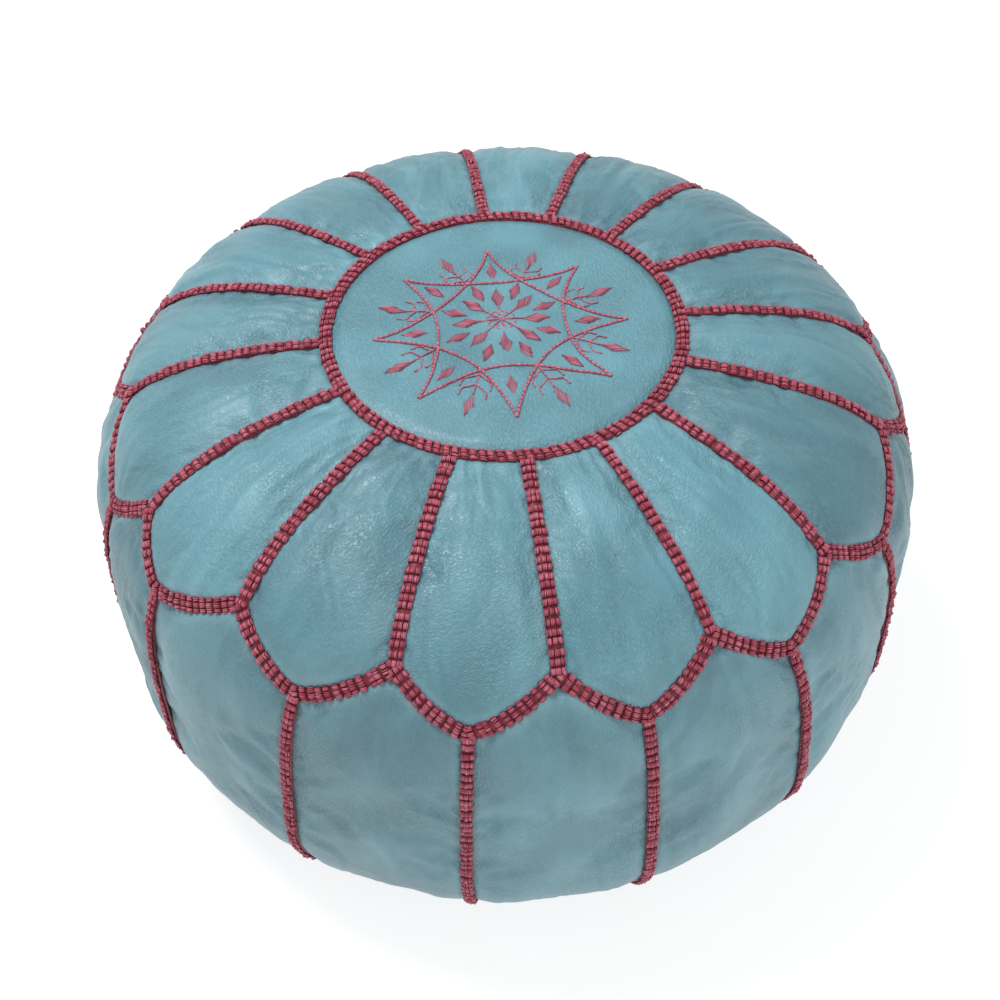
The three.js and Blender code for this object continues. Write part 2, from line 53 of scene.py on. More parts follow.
PANELS = 16
FIRST_SEAM = math.radians(-123.75)
TURN_STEP = 2 * PI / PANELS
RING_ALONG = 110.0
CORNER_ALONG = 246.0
TIP_ALONG = 279.0
TIP_SHARPNESS = 1.35
SEAM_DEPTH = 4.0
CORNER_SWAY = [-0.2, 1.3, 0.3, -0.5, -1.1, 3.5, 1.5, 0.5, 2, 0.8, 0.6, -0.6, -1.2, -1, -3, -0.9]
TIP_SWAY = [-0.1, 0.1, -0.2, -1.2, -0.8, 0.6, 0.9, 0.2, -0.7, 0.5, 0.3, -0.6, 0.8, -0.4, 1.5, -3.6]
HEM_SWAY = [-2.7, -0.6, 1.1, 3.9, 5, 3, 1, -1, 0.8, -0.6, 1.2, 0.4, -1.5, -2, -3, -4.8]
FULL_SWAY_SHARE = 0.7
BRAID_END_RADIUS = 212.0

# ------ The stuffed outline ------


def cumulative(steps, axis):
    """The sum of the steps up to each point along an axis, from 0."""
    total = np.cumsum(steps, axis)
    return np.concatenate([np.zeros_like(total.take([0], axis)), total], axis)


def outline_table():
    """Radius, height and length along the outline, from the top centre to the edge of the base."""
    t = np.linspace(0, 1, 12001)
    above = t < 0.5
    angle = np.abs(1 - 2 * t) * (PI / 2)
    reach = np.where(above, RADIUS, RADIUS - BASE_RADIUS)
    rise = np.where(above, HEIGHT - BELLY_HEIGHT, BELLY_HEIGHT)
    power = np.where(above, SHOULDER_POWER, BELLY_POWER)
    c = np.abs(np.cos(angle))
    s = np.abs(np.sin(angle))
    scale = ((c / reach) ** power + (s / rise) ** power) ** (-1 / power)
    radius = scale * c + np.where(above, 0, BASE_RADIUS)
    height = BELLY_HEIGHT + np.where(above, 1, -1) * scale * s
    steps = np.hypot(np.diff(radius), np.diff(height))
    return cumulative(steps, 0), radius, height


TABLE_ALONG, TABLE_RADIUS, TABLE_HEIGHT = outline_table()
OUTLINE_LENGTH = TABLE_ALONG[-1]
EVEN_ALONG = np.linspace(0, OUTLINE_LENGTH, 3001)
EVEN_RADIUS = np.interp(EVEN_ALONG, TABLE_ALONG, TABLE_RADIUS)
EVEN_HEIGHT = np.interp(EVEN_ALONG, TABLE_ALONG, TABLE_HEIGHT)
EVEN_SLOPE = np.arctan2(np.gradient(EVEN_HEIGHT), np.gradient(EVEN_RADIUS))


def profile_at(along, lift=0.0):
    radius = np.interp(along, EVEN_ALONG, EVEN_RADIUS)
    height = np.interp(along, EVEN_ALONG, EVEN_HEIGHT)
    slope = np.interp(along, EVEN_ALONG, EVEN_SLOPE)
    return radius - np.sin(slope) * lift, height + np.cos(slope) * lift


def on_cover(turn, along, lift=0.0):
    radius, height = profile_at(along, lift)
    turn = turn + np.zeros_like(radius)
    return np.stack([radius * np.cos(turn), radius * np.sin(turn), height], -1)


def along_at_lower_radius(radius):
    lower = EVEN_HEIGHT < BELLY_HEIGHT
    return float(np.interp(-radius, -EVEN_RADIUS[lower], EVEN_ALONG[lower]))


# ------ Where the seams run ------


def seam_turn(place):
    return FIRST_SEAM + place * TURN_STEP


def stray_turn(place, at_seams, at_middles):
    both = np.empty(2 * PANELS)
    both[0::2] = at_seams
    both[1::2] = at_middles
    low = np.floor(place * 2).astype(int)
    share = place * 2 - low
    a = both[low % (2 * PANELS)]
    b = both[(low + 1) % (2 * PANELS)]
    return seam_turn(place) + np.radians(a + (b - a) * share)


def ring_edge(place):
    return seam_turn(place), np.full_like(place, RING_ALONG)


def scallop_edge(place):
    share = np.abs(2 * (place - np.floor(place)) - 1) ** TIP_SHARPNESS
    along = TIP_ALONG + (CORNER_ALONG - TIP_ALONG) * share
    return stray_turn(place, CORNER_SWAY, TIP_SWAY), along


HEM_BETWEEN = [(HEM_SWAY[i] + HEM_SWAY[i - 1]) / 2 for i in range(PANELS)]


def hem_edge(place):
    return stray_turn(place, HEM_BETWEEN, HEM_SWAY), np.full_like(place, OUTLINE_LENGTH)


def between(top_edge, bottom_edge, place, share):
    top_turn, top = top_edge(place)
    bottom_turn, bottom = bottom_edge(place)
    turn_share = share
    if bottom_edge is hem_edge:
        turn_share = np.sin(np.minimum(1, share / FULL_SWAY_SHARE) * PI / 2)
    turn = top_turn + (bottom_turn - top_turn) * turn_share
    return turn, top + (bottom - top) * share


# ------ Smooth random fields ------


def noise(x, y, seed):
    """Smooth noise of about -1 to 1 over a plane, with features one unit across."""
    table = np.random.default_rng(seed).uniform(-1, 1, (64, 64))
    xi = np.floor(x).astype(int)
    yi = np.floor(y).astype(int)
    fx = x - xi
    fy = y - yi
    fx = fx * fx * fx * (fx * (fx * 6 - 15) + 10)
    fy = fy * fy * fy * (fy * (fy * 6 - 15) + 10)
    a = table[xi % 64, yi % 64]
    b = table[(xi + 1) % 64, yi % 64]
    c = table[xi % 64, (yi + 1) % 64]
    d = table[(xi + 1) % 64, (yi + 1) % 64]
    return (a + (b - a) * fx) * (1 - fy) + (c + (d - c) * fx) * fy


def smooth(value, low, high):
    t = np.clip((value - low) / (high - low), 0, 1)
    return t * t * (3 - 2 * t)


# ------ Meshes ------


def fill_mesh(mesh, points, groups):
    """Fills a mesh from points in millimetres and groups of faces, each with one number of corners."""
    groups = [np.asarray(g, int) for g in groups if len(g)]
    corners = np.concatenate([g.ravel() for g in groups])
    sizes = np.concatenate([np.full(len(g), g.shape[1]) for g in groups])
    points = np.asarray(points, float).reshape(-1, 3)
    mesh.vertices.add(len(points))
    mesh.vertices.foreach_set("co", (points * MM).astype(np.float32).ravel())
    mesh.loops.add(len(corners))
    mesh.loops.foreach_set("vertex_index", corners.astype(np.int32))
    mesh.polygons.add(len(sizes))
    starts = np.concatenate([[0], np.cumsum(sizes)[:-1]])
    mesh.polygons.foreach_set("loop_start", starts.astype(np.int32))
    mesh.update(calc_edges=True)


def make_object(name, points, groups, material, body="pouf", smooth_faces=True, **attributes):
    """A mesh object that rides on a body. Attributes are one number for each point."""
    mesh = bpy.data.meshes.new(name)
    fill_mesh(mesh, points, groups)
    for key, values in attributes.items():
        layer = mesh.attributes.new(key, "FLOAT", "POINT")
        layer.data.foreach_set("value", np.asarray(values, np.float32).ravel())
    mesh.polygons.foreach_set("use_smooth", [smooth_faces] * len(mesh.polygons))
    mesh.materials.append(material)
    mesh.update()
    obj = bpy.data.objects.new(name, mesh)
    bpy.context.scene.collection.objects.link(obj)
    if body:
        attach(obj, body)
    return obj


def grid_faces(rows, columns, start=0, wrap=False):
    """Faces of a grid of points whose normals point along column step x row step."""
    r = np.arange(rows - 1)[:, None]
    c = np.arange(columns if wrap else columns - 1)[None, :]
    d = (c + 1) % columns
    quads = np.stack(
        [r * columns + c, (r + 1) * columns + c, (r + 1) * columns + d, r * columns + d], -1
    )
    return quads.reshape(-1, 4) + start


def refine(grid, factor, axis):
    """The grid with factor times as many steps along an axis, on a smooth curve through its points."""
    g = np.moveaxis(grid, axis, 0)
    n = len(g)
    padded = np.concatenate([2 * g[:1] - g[1:2], g, 2 * g[-1:] - g[-2:-1]])
    at = np.arange((n - 1) * factor + 1) / factor
    i = np.minimum(at.astype(int), n - 2)
    t = (at - i).reshape((-1,) + (1,) * (g.ndim - 1))
    p0, p1, p2, p3 = (padded[i + k] for k in range(4))
    out = 0.5 * (
        2 * p1
        + (p2 - p0) * t
        + (2 * p0 - 5 * p1 + 4 * p2 - p3) * t**2
        + (3 * p1 - p0 - 3 * p2 + p3) * t**3
    )
    return np.moveaxis(out, 0, axis)


def unit(v):
    return v / np.maximum(np.linalg.norm(v, axis=-1, keepdims=True), 1e-12)


def grid_normals(grid):
    """Outward normals of a panel's grid, whose rows run down and columns run round."""
    down = np.gradient(grid, axis=0)
    across = np.gradient(grid, axis=1)
    return unit(np.cross(down, across))


# ------ Materials ------


class Nodes:
    """A material's node tree, made one line at a time."""

    def __init__(self, name):
        self.material = bpy.data.materials.new(name)
        self.material.use_nodes = True
        self.tree = self.material.node_tree
        self.shader = self.tree.nodes["Principled BSDF"]
        self.place = self.add("ShaderNodeTexCoord").outputs["Object"]

    def add(self, kind, inputs=None, **settings):
        node = self.tree.nodes.new(kind)
        for key, value in settings.items():
            setattr(node, key, value)
        for key, value in (inputs or {}).items():
            self.set(node.inputs[key], value)
        return node

    def set(self, socket, value):
        if isinstance(value, bpy.types.NodeSocket):
            self.tree.links.new(value, socket)
        else:
            socket.default_value = value

    def attribute(self, name):
        return self.add("ShaderNodeAttribute", attribute_name=name).outputs["Fac"]

    def math(self, operation, a, b=0.0):
        return self.add("ShaderNodeMath", {0: a, 1: b}, operation=operation).outputs[0]

    def weighted(self, *terms):
        """The sum of some sockets, each times its weight."""
        total = None
        for value, weight in terms:
            part = value if weight == 1 else self.math("MULTIPLY", value, weight)
            total = part if total is None else self.math("ADD", total, part)
        return total

    def stretch(self, scale, vector=None):
        inputs = {"Vector": vector or self.place, "Scale": scale}
        return self.add("ShaderNodeMapping", inputs).outputs[0]

    def noise(self, scale, detail=2.0, rough=0.5, vector=None, distortion=0.0):
        inputs = {
            "Vector": vector or self.place,
            "Scale": scale,
            "Detail": detail,
            "Roughness": rough,
            "Distortion": distortion,
        }
        return self.add("ShaderNodeTexNoise", inputs).outputs["Fac"]

    def cells(self, vector):
        return self.add("ShaderNodeTexVoronoi", {"Vector": vector, "Scale": 1.0}).outputs["Distance"]

    def ranged(self, value, low, high, to_low=0.0, to_high=1.0):
        inputs = {0: value, 1: low, 2: high, 3: to_low, 4: to_high}
        return self.add("ShaderNodeMapRange", inputs).outputs[0]

    def mix(self, factor, a, b):
        node = self.add("ShaderNodeMix", data_type="RGBA")
        for socket, value in ((0, factor), (6, a), (7, b)):
            self.set(node.inputs[socket], value)
        return node.outputs[2]

    def bump(self, height, distance, strength):
        inputs = {"Height": height, "Distance": distance, "Strength": strength}
        return self.add("ShaderNodeBump", inputs).outputs[0]

    def finish(self, color, roughness, normal=None, **uniform):
        self.set(self.shader.inputs["Base Color"], color)
        self.set(self.shader.inputs["Roughness"], roughness)
        if normal is not None:
            self.set(self.shader.inputs["Normal"], normal)
        for key, value in uniform.items():
            self.shader.inputs[key.replace("_", " ")].default_value = value
        return self.material


def srgb(red, green, blue):
    """A colour given as 0 to 255 on screen, as the linear colour that a shader takes."""
    values = [v / 255 for v in (red, green, blue)]
    linear = [v / 12.92 if v <= 0.04045 else ((v + 0.055) / 1.055) ** 2.4 for v in values]
    return (*linear, 1.0)


SEAM_TINT = srgb(134, 96, 110)


def leather(name, main, deep, pale, roughness=0.36):
    """Dyed leather: pebbled grain that lies along the hide, cloudy dye, painted highlights on the folds
    and painted shade in their hollows and at the seams, and a dark pinkish tint beside the seams.
    """
    n = Nodes(name)
    tone = n.attribute("tone")
    wear = n.attribute("wear")
    inputs = {"X": n.attribute("hide_x"), "Y": n.attribute("hide_y"), "Z": n.math("MULTIPLY", tone, 3.0)}
    hide = n.add("ShaderNodeCombineXYZ", inputs).outputs[0]
    cloudy = n.noise(9.0, 4.0, 0.6)
    blotches = n.noise(30.0, 4.0, 0.6, distortion=0.4)
    streaks = n.noise(1.0, 2.0, 0.6, vector=n.stretch((0.72, 0.36, 1.0), hide), distortion=0.3)
    pebbles = n.cells(n.stretch((0.85, 0.5, 1.0), hide))
    fine = n.noise(1700.0, 2.0, 0.6)
    grainy = n.ranged(n.noise(22.0, 3.0), 0.4, 0.6, 0.35, 1.0)
    streaky_dye = n.math("SUBTRACT", streaks, 0.5)
    shade = n.weighted((tone, 0.45), (cloudy, 0.4), (blotches, 0.16), (streaky_dye, 0.3))
    color = n.mix(n.ranged(shade, 0.25, 0.95), deep, main)
    color = n.mix(n.ranged(shade, 0.75, 1.25, 0.0, 0.6), color, pale)
    # Painted highlight where the shading attribute is above nought, painted shade where it is below.
    color = n.mix(n.ranged(wear, 0.0, 1.0, 0.0, 0.5), color, pale)
    color = n.mix(n.ranged(wear, -1.0, 0.0, 0.85, 0.0), color, deep)
    color = n.mix(n.math("MULTIPLY", n.attribute("seam_tint"), 0.5), color, SEAM_TINT)
    rough = n.ranged(cloudy, 0.3, 0.7, roughness - 0.06, roughness + 0.05)
    rough = n.weighted((rough, 1), (pebbles, 0.08))
    grain = n.weighted((n.ranged(streaks, 0.4, 0.6), 1), (n.math("SUBTRACT", 1.0, pebbles), 0.3))
    height = n.weighted((n.math("MULTIPLY", grain, grainy), 1), (fine, 0.06))
    return n.finish(color, rough, n.bump(height, 0.00042, 1.0), Specular_IOR_Level=0.5)


# The deep and pale colours serve both the dye's cloudy variation and the painted shade and painted
# highlights.
TEAL = srgb(114, 171, 184)
TEAL_DEEP = srgb(78, 118, 130)
TEAL_PALE = srgb(140, 186, 197)
petal_leather = leather("petal_leather", TEAL, TEAL_DEEP, TEAL_PALE)
# The sides' leather is the petals' leather with a darker main colour: painted shade.
side_leather = leather("side_leather", srgb(105, 155, 167), srgb(80, 116, 127), TEAL_PALE)
base_leather = leather("base_leather", srgb(98, 143, 154), srgb(74, 108, 118), TEAL_PALE, 0.56)


def thread(name, main, deep, pale, roughness):
    """Glossy wound thread, with painted highlights on the crest and upper side of each loop and painted
    shade between loops.
    """
    n = Nodes(name)
    painted_thread_shading = n.attribute("painted_thread_shading")
    fuzz = n.noise(2600.0, 2.0, 0.6)
    # Deep colour between loops and pale on their crests: painted shade and painted highlight.
    color = n.mix(n.ranged(painted_thread_shading, 0.4, 0.92), deep, main)
    light = n.ranged(n.weighted((n.attribute("tone"), 0.75), (fuzz, 0.4)), 0.35, 1.0)
    color = n.mix(n.math("MULTIPLY", light, n.ranged(painted_thread_shading, 0.35, 1.0)), color, pale)
    ply = n.math("SINE", n.attribute("twist"))
    normal = n.bump(n.weighted((ply, 0.5), (fuzz, 0.5)), 0.00015, 0.7)
    uniform = {"Specular_IOR_Level": 0.4, "Sheen_Weight": 0.12, "Sheen_Roughness": 0.4}
    return n.finish(color, roughness, normal, **uniform)


# Each thread's main, deep and pale colour: the deep one is painted shade between loops, the pale one a
# painted highlight on crests.
BRAID_COLORS = srgb(164, 61, 83), srgb(122, 33, 50), srgb(212, 124, 144)
STAR_COLORS = srgb(172, 76, 100), srgb(118, 36, 56), srgb(206, 142, 160)
braid_thread = thread("braid_thread", *BRAID_COLORS, 0.5)
star_thread = thread("star_thread", *STAR_COLORS, 0.42)

# ------ Cover panels ------

COARSE_ACROSS = 16
PETAL_DOWN = 26
SIDE_DOWN = 46
FINER = 3
VISIBLE_LEATHER = 1.6
EDGE_ROUNDING = 9.0
CROWN_BELOW = 0.6
STARTING_PUFF = 0.6


def surface_distances(grid):
    """For each point, the distances to the panel's left, right, top and bottom edge, over the surface."""
    left = cumulative(np.linalg.norm(np.diff(grid, axis=1), axis=-1), 1)
    top = cumulative(np.linalg.norm(np.diff(grid, axis=0), axis=-1), 0)
    return left, left[:, -1:] - left, top, top[-1:] - top


def nearest(left, right, top, bottom):
    return np.minimum(np.minimum(left, right), np.minimum(top, bottom))


def panel_places(spec, rows, columns):
    """The turn and the distance along the outline at each point of a panel's grid."""
    _, start, top_edge, bottom_edge, _ = spec
    u = np.linspace(0, 1, columns)[None, :] + np.zeros((rows, 1))
    v = np.linspace(0, 1, rows)[:, None] + np.zeros((1, columns))
    return between(top_edge, bottom_edge, start + u, v)


def panel_start(spec):
    """A panel's starting grid, crowned between its seams."""
    turn, along = panel_places(spec, spec[4] + 1, COARSE_ACROSS + 1)
    left, right, top, bottom = surface_distances(on_cover(turn, along))
    crown = 1 - np.exp(-nearest(left, right, top, bottom) / EDGE_ROUNDING)
    swell = np.sin(PI * np.clip(left / left[:, -1:], 0, 1)) * np.sin(PI * np.clip(top / top[-1:], 0, 1))
    lift = -SEAM_DEPTH + (SEAM_DEPTH - CROWN_BELOW) * crown + STARTING_PUFF * np.sqrt(np.abs(swell))
    return on_cover(turn, along, lift)


# Each panel's node, first seam, top and bottom edge, and steps down.
PANEL_SPECS = [(f"petal_{i + 1:02d}", i, ring_edge, scallop_edge, PETAL_DOWN) for i in range(PANELS)]
PANEL_SPECS += [
    (f"side_panel_{i + 1:02d}", i - 0.5, scallop_edge, hem_edge, SIDE_DOWN) for i in range(PANELS)
]
SIM_FRAMES = 18
MAX_PUFF = 6.0
CLOTH = {
    "quality": 5,
    "mass": 0.25,
    "tension_stiffness": 40,
    "compression_stiffness": 40,
    "shear_stiffness": 12,
    "bending_stiffness": 1.5,
    "vertex_group_mass": "held",
    "pin_stiffness": 1,
    "use_pressure": True,
    "uniform_pressure_force": 5,
    "shrink_min": -0.014,
}


def puffed(grids):
    """The panels after the stuffing has pushed them out: cloth under pressure, held at its seams."""
    starts = cumulative([g.shape[0] * g.shape[1] for g in grids], 0)
    points = np.concatenate([g.reshape(-1, 3) for g in grids])
    faces = []
    held = []
    for g, start in zip(grids, starts):
        rows, columns = g.shape[:2]
        faces.append(grid_faces(rows, columns, start))
        index = np.arange(rows * columns).reshape(rows, columns) + start
        rim = np.ones((rows, columns), bool)
        rim[1:-1, 1:-1] = False
        held += index[rim].tolist()
    mesh = bpy.data.meshes.new("cover_sim")
    fill_mesh(mesh, points, faces)
    cover = bpy.data.objects.new("cover_sim", mesh)
    bpy.context.scene.collection.objects.link(cover)
    cover.vertex_groups.new(name="held").add(held, 1.0, "REPLACE")
    cloth = cover.modifiers.new("cloth", "CLOTH")
    for key, value in CLOTH.items():
        setattr(cloth.settings, key, value)
    cloth.settings.effector_weights.gravity = 0
    cloth.collision_settings.use_collision = False
    cloth.point_cache.frame_start = 1
    cloth.point_cache.frame_end = SIM_FRAMES
    scene = bpy.context.scene
    for frame_number in range(1, SIM_FRAMES + 1):
        scene.frame_set(frame_number)
    shown = cover.evaluated_get(bpy.context.evaluated_depsgraph_get())
    result = np.empty(len(points) * 3, np.float32)
    shown.data.vertices.foreach_get("co", result)
    result = result.reshape(-1, 3).astype(float) / MM
    scene.frame_set(1)
    bpy.data.objects.remove(cover)
    bpy.data.meshes.remove(mesh)
    push = result - points
    length = np.linalg.norm(push, axis=1, keepdims=True)
    result = points + push * np.minimum(1, MAX_PUFF / np.maximum(length, 1e-9))
    return [result[a:b].reshape(g.shape) for g, a, b in zip(grids, starts[:-1], starts[1:])]


def creases(x, y, seed, count, width, depth, reach):
    """A few soft creases: short curved furrows at random places and angles."""
    random = np.random.default_rng(seed)
    out = np.zeros_like(x)
    low = np.array([x.min(), y.min()])
    high = np.array([x.max(), y.max()])
    for _ in range(count):
        cx, cy = random.uniform(low + 0.12 * (high - low), high - 0.12 * (high - low))
        angle = random.normal(PI / 2, 0.55)
        bend = random.uniform(-1, 1) * 0.006
        length = random.uniform(*reach)
        w = width * random.uniform(0.7, 1.5)
        along = (x - cx) * math.cos(angle) + (y - cy) * math.sin(angle)
        off = -(x - cx) * math.sin(angle) + (y - cy) * math.cos(angle) - bend * along**2
        furrow = np.exp(-((off / w) ** 2)) - 0.6 * np.exp(-(((np.abs(off) - 2 * w) / w) ** 2))
        out -= depth * random.uniform(0.5, 1.0) * furrow * np.exp(-((along / length) ** 2))
    return out


def wrinkles(grid, seed, petal):
    """Small relief on a panel, in millimetres, and its painted shading: lighter on the relief's crests and
    on the roll near each seam, darker in its hollows and right at the seams.
    """
    left, right, top, bottom = surface_distances(grid)
    x = left - (left + right) / 2
    y = top
    edge = nearest(left, right, top, bottom)
    beside = np.minimum(left, right)
    v = top / (top + bottom)
    near = np.exp(-edge / 14.0)
    # Long soft folds that fan out from the ring, or hang down the side.
    fan = x / (left + right) * 9
    folds = noise(fan + 3 * noise(y / 60, x / 50, seed + 3), y / 85, seed) * 1.05
    folds += noise(fan * 1.9 + 2 * noise(y / 40, x / 40, seed + 4), y / 45, seed + 1) * 0.6
    folds *= (1.1 - 0.5 * v) if petal else (0.45 + 0.5 * np.exp(-top / 60))
    # Puckers that run square to each seam and die away from it.
    pucker = noise(y / 5.5, x / 30, seed + 5) * np.exp(-beside / 8) * 0.45
    pucker += noise(x / 5.5, y / 30, seed + 6) * np.exp(-np.minimum(top, bottom) / 8) * 0.45
    # Fine cross wrinkles towards the petal's point, and broad hollows everywhere.
    cross_zone = smooth(v, 0.55, 0.85) if petal else np.exp(-top / 45)
    diagonal = (y + 0.5 * x) / 4.5 + 1.5 * noise(x / 18, y / 18, seed + 7)
    cross = noise(diagonal, (x - 0.5 * y) / 22, seed + 8) * 0.26 * cross_zone
    broad = noise(x / 32 + 5, y / 38, seed + 9) * 1.15 * (1 - near)
    lines = creases(x, y, seed + 10, 12 if petal else 14, 1.6, 0.45, (12, 38))
    # A shallow valley beside each long seam.
    valley = 0.9 * np.exp(-(((beside - 9) / 6) ** 2))
    valley *= 0.6 + 0.4 * noise(y / 30, x / 60, seed + 11)
    relief = folds * (1 - 0.6 * near) + pucker + cross + broad - valley + lines * (1 - near)
    # Painted shading: lighter where the relief rises, darker where it sinks.
    wear = np.clip(relief * 0.28, -0.5, 0.5)
    # Painted shade right at each seam, and a painted highlight on the roll about 8 mm from it.
    shade = -0.75 * np.exp(-edge / 3.2) + 0.4 * np.exp(-(((edge - 8) / 4.5) ** 2))
    return relief * smooth(edge, 0.5, 7), np.clip(wear + shade, -1, 1)


def hide_axes(x, y, seed):
    """Where each point lay on the hide: each panel was cut at its own angle."""
    angle = np.random.default_rng(seed).normal(-0.35, 0.45)
    x = x + 3.0 * noise(x / 35, y / 35, seed + 1)
    return {
        "hide_x": x * math.cos(angle) - y * math.sin(angle),
        "hide_y": x * math.sin(angle) + y * math.cos(angle),
    }


def sheet_object(name, outer, thickness, material, **attributes):
    """A closed sheet from a grid on its outer face, with a rounded cut edge."""
    rows, columns = outer.shape[:2]
    normals = grid_normals(outer)
    count = rows * columns
    index = np.arange(count).reshape(rows, columns)
    rim = np.concatenate([index[0, :-1], index[:-1, -1], index[-1, :0:-1], index[:0:-1, 0]])
    flat = outer.reshape(-1, 3)
    under = (outer - normals * thickness).reshape(-1, 3)
    middle = (flat[rim] + under[rim]) / 2
    points = np.concatenate([flat, under, middle])
    faces = grid_faces(rows, columns)
    b = np.roll(rim, -1)
    m = 2 * count + np.arange(len(rim))
    q = np.roll(m, -1)
    groups = [
        faces,
        faces[:, ::-1] + count,
        np.stack([rim, b, q, m], -1),
        np.stack([m, q, b + count, rim + count], -1),
    ]
    full = {}
    for key, values in attributes.items():
        values = np.asarray(values, float).ravel()
        full[key] = np.concatenate([values, values, values[rim]])
    return make_object(name, points, groups, material, **full)


UNDER_BRAID = 5.0
EDGE_LIFT = -3.4


def under_the_braid(fine, spec):
    """Keeps a panel's edge low enough for the braid that covers it. No braid covers the hem."""
    turn, along = panel_places(spec, *fine.shape[:2])
    plain = on_cover(turn, along)
    out = unit(on_cover(turn, along, 1.0) - plain)
    left, right, top, bottom = surface_distances(plain)
    edge = np.minimum(np.minimum(left, right), top)
    if spec[3] is scallop_edge:
        edge = np.minimum(edge, bottom)
    lift = ((fine - plain) * out).sum(-1)
    limit = EDGE_LIFT + 1.5 * (edge / UNDER_BRAID) ** 2
    limit = np.where(edge > UNDER_BRAID + 3, np.inf, limit)
    return fine - out * np.maximum(lift - limit, 0)[..., None]


start_grids = [panel_start(spec) for spec in PANEL_SPECS]
cover_grids = puffed(start_grids)

# How far the middle of a side panel lies inside its swollen shape.
SIDE_FLATNESS = 4.5
# Petal 3's tone is raised and petals 5 to 8's lowered: painted light and painted shade that even out how
# the lamps light them.
PAINTED_LIGHT_PETAL = 3
SHADED_PETALS = slice(5, 9)
panel_tones = np.random.default_rng(11).uniform(0.2, 0.8, len(PANEL_SPECS))
panel_tones[PAINTED_LIGHT_PETAL] = 0.8
panel_tones[SHADED_PETALS] = 0.3


def panel(number, spec, grid):
    name = spec[0]
    is_petal = number < PANELS
    fine = refine(refine(grid, FINER, 0), FINER, 1)
    normals = grid_normals(fine)
    relief, wear = wrinkles(fine, 100 + 20 * number, is_petal)
    if not is_petal:
        down = np.linspace(0, 1, fine.shape[0])[:, None]
        across = np.sin(PI * np.linspace(0, 1, fine.shape[1]))[None, :]
        relief = relief - SIDE_FLATNESS * smooth(down, 0.05, 0.4) * (1 - smooth(down, 0.8, 1.0)) * across
    fine = under_the_braid(fine + normals * relief[..., None], spec)
    fine[..., 2] = np.maximum(fine[..., 2], 0.0)
    left, right, top, bottom = surface_distances(fine)
    tone = np.clip(panel_tones[number] + 0.2 * noise(left / 40, top / 45, 900 + number), 0, 1)
    # A dark pinkish tint in patches beside the seams.
    tint_patches = np.clip(0.5 + 0.7 * noise(left / 12, top / 14, 950 + number), 0, 1)
    seam_tint = np.exp(-nearest(left, right, top, bottom) / 4.5) * tint_patches
    hide = hide_axes((left - right) / 2, top, 1000 + 10 * number)
    look = petal_leather if is_petal else side_leather
    looks = {"tone": tone, "wear": wear, "seam_tint": seam_tint, **hide}
    obj = sheet_object("leather_" + name, fine, VISIBLE_LEATHER, look, **looks)
    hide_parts(name)


for number, (spec, grid) in enumerate(zip(PANEL_SPECS, cover_grids)):
    panel(number, spec, grid)

# ------ Threads ------


STATIONS = 5
TUBE_SIDES = 5
PLY_PITCH = 1.5
FINE_PLY_PITCH = 1.2


def tubes(centres, ups, radius):
    """Closed tubes through rows of centres, as points, groups of faces and the turn round the tube."""
    count, stations = centres.shape[:2]
    sides = TUBE_SIDES
    forward = unit(np.gradient(centres, axis=1))
    side = unit(np.cross(forward, ups))
    up = np.cross(side, forward)
    angle = -PI / 2 + np.arange(sides) * 2 * PI / sides
    across = np.cos(angle)[:, None] * side[:, :, None] + np.sin(angle)[:, None] * up[:, :, None]
    points = centres[:, :, None] + radius[:, :, None, None] * across
    base = (np.arange(count) * stations * sides)[:, None, None]
    k = np.arange(stations - 1)[None, :, None] * sides
    m = np.arange(sides)[None, None, :]
    n = (m + 1) % sides
    quads = np.stack([base + k + m, base + k + sides + m, base + k + sides + n, base + k + n], -1)
    first = base[:, 0] + np.arange(sides)[None, :]
    last = first[:, ::-1] + (stations - 1) * sides
    turn = np.broadcast_to(angle, (count, stations, sides))
    return points.reshape(-1, 3), [quads.reshape(-1, 4), first, last], turn


def joined(parts):
    """Several (points, groups, attributes) as one."""
    points = np.concatenate([p[0] for p in parts])
    groups = []
    start = 0
    for p in parts:
        groups += [np.asarray(g) + start for g in p[1] if len(g)]
        start += len(p[0])
    by_size = {}
    for g in groups:
        by_size.setdefault(g.shape[1], []).append(g)
    merged = {key: np.concatenate([p[2][key] for p in parts]) for key in parts[0][2]}
    return points, [np.concatenate(g) for g in by_size.values()], merged


class Run:
    """A line over the cover, with its frame at any distance along it."""

    def __init__(self, turn, along, closed=False):
        points = on_cover(turn, along)
        if closed:
            points = np.concatenate([points, points[:1]])
            turn = np.concatenate([turn, turn[:1]])
            along = np.concatenate([along, along[:1]])
        self.up = unit(on_cover(turn, along, 1.0) - points)
        self.s = cumulative(np.linalg.norm(np.diff(points, axis=0), axis=1), 0)
        self.length = self.s[-1]
        self.points = points
        self.closed = closed

    def at(self, s, across, lift):
        """Points at distances along the run, moved sideways and lifted."""
        if self.closed:
            s = np.mod(s, self.length)
        beyond = s - np.clip(s, 0, self.length)
        pick = lambda values, where: np.stack(
            [np.interp(where, self.s, values[:, axis]) for axis in range(3)], -1
        )
        here = pick(self.points, s)
        up = unit(pick(self.up, s))
        ahead = pick(self.points, np.minimum(s + 1.0, self.length))
        behind = pick(self.points, np.maximum(s - 1.0, 0))
        forward = unit(ahead - behind)
        side = unit(np.cross(forward, up))
        here = here + forward * beyond[..., None]
        return here + side * across[..., None] + up * lift[..., None], up


BRAID_PITCH = 5.3
STRAND_SHARE = 0.96
BRAID_COLUMNS = (-3.6, 0.0, 3.6)
BRAID_STRANDS = (-0.98, 0.0, 0.98)
STRAND_RADIUS = 0.54
STRANDS_REACH = 1.7
RIB_HEIGHT = 2.7
BED_LIFT = -2.3
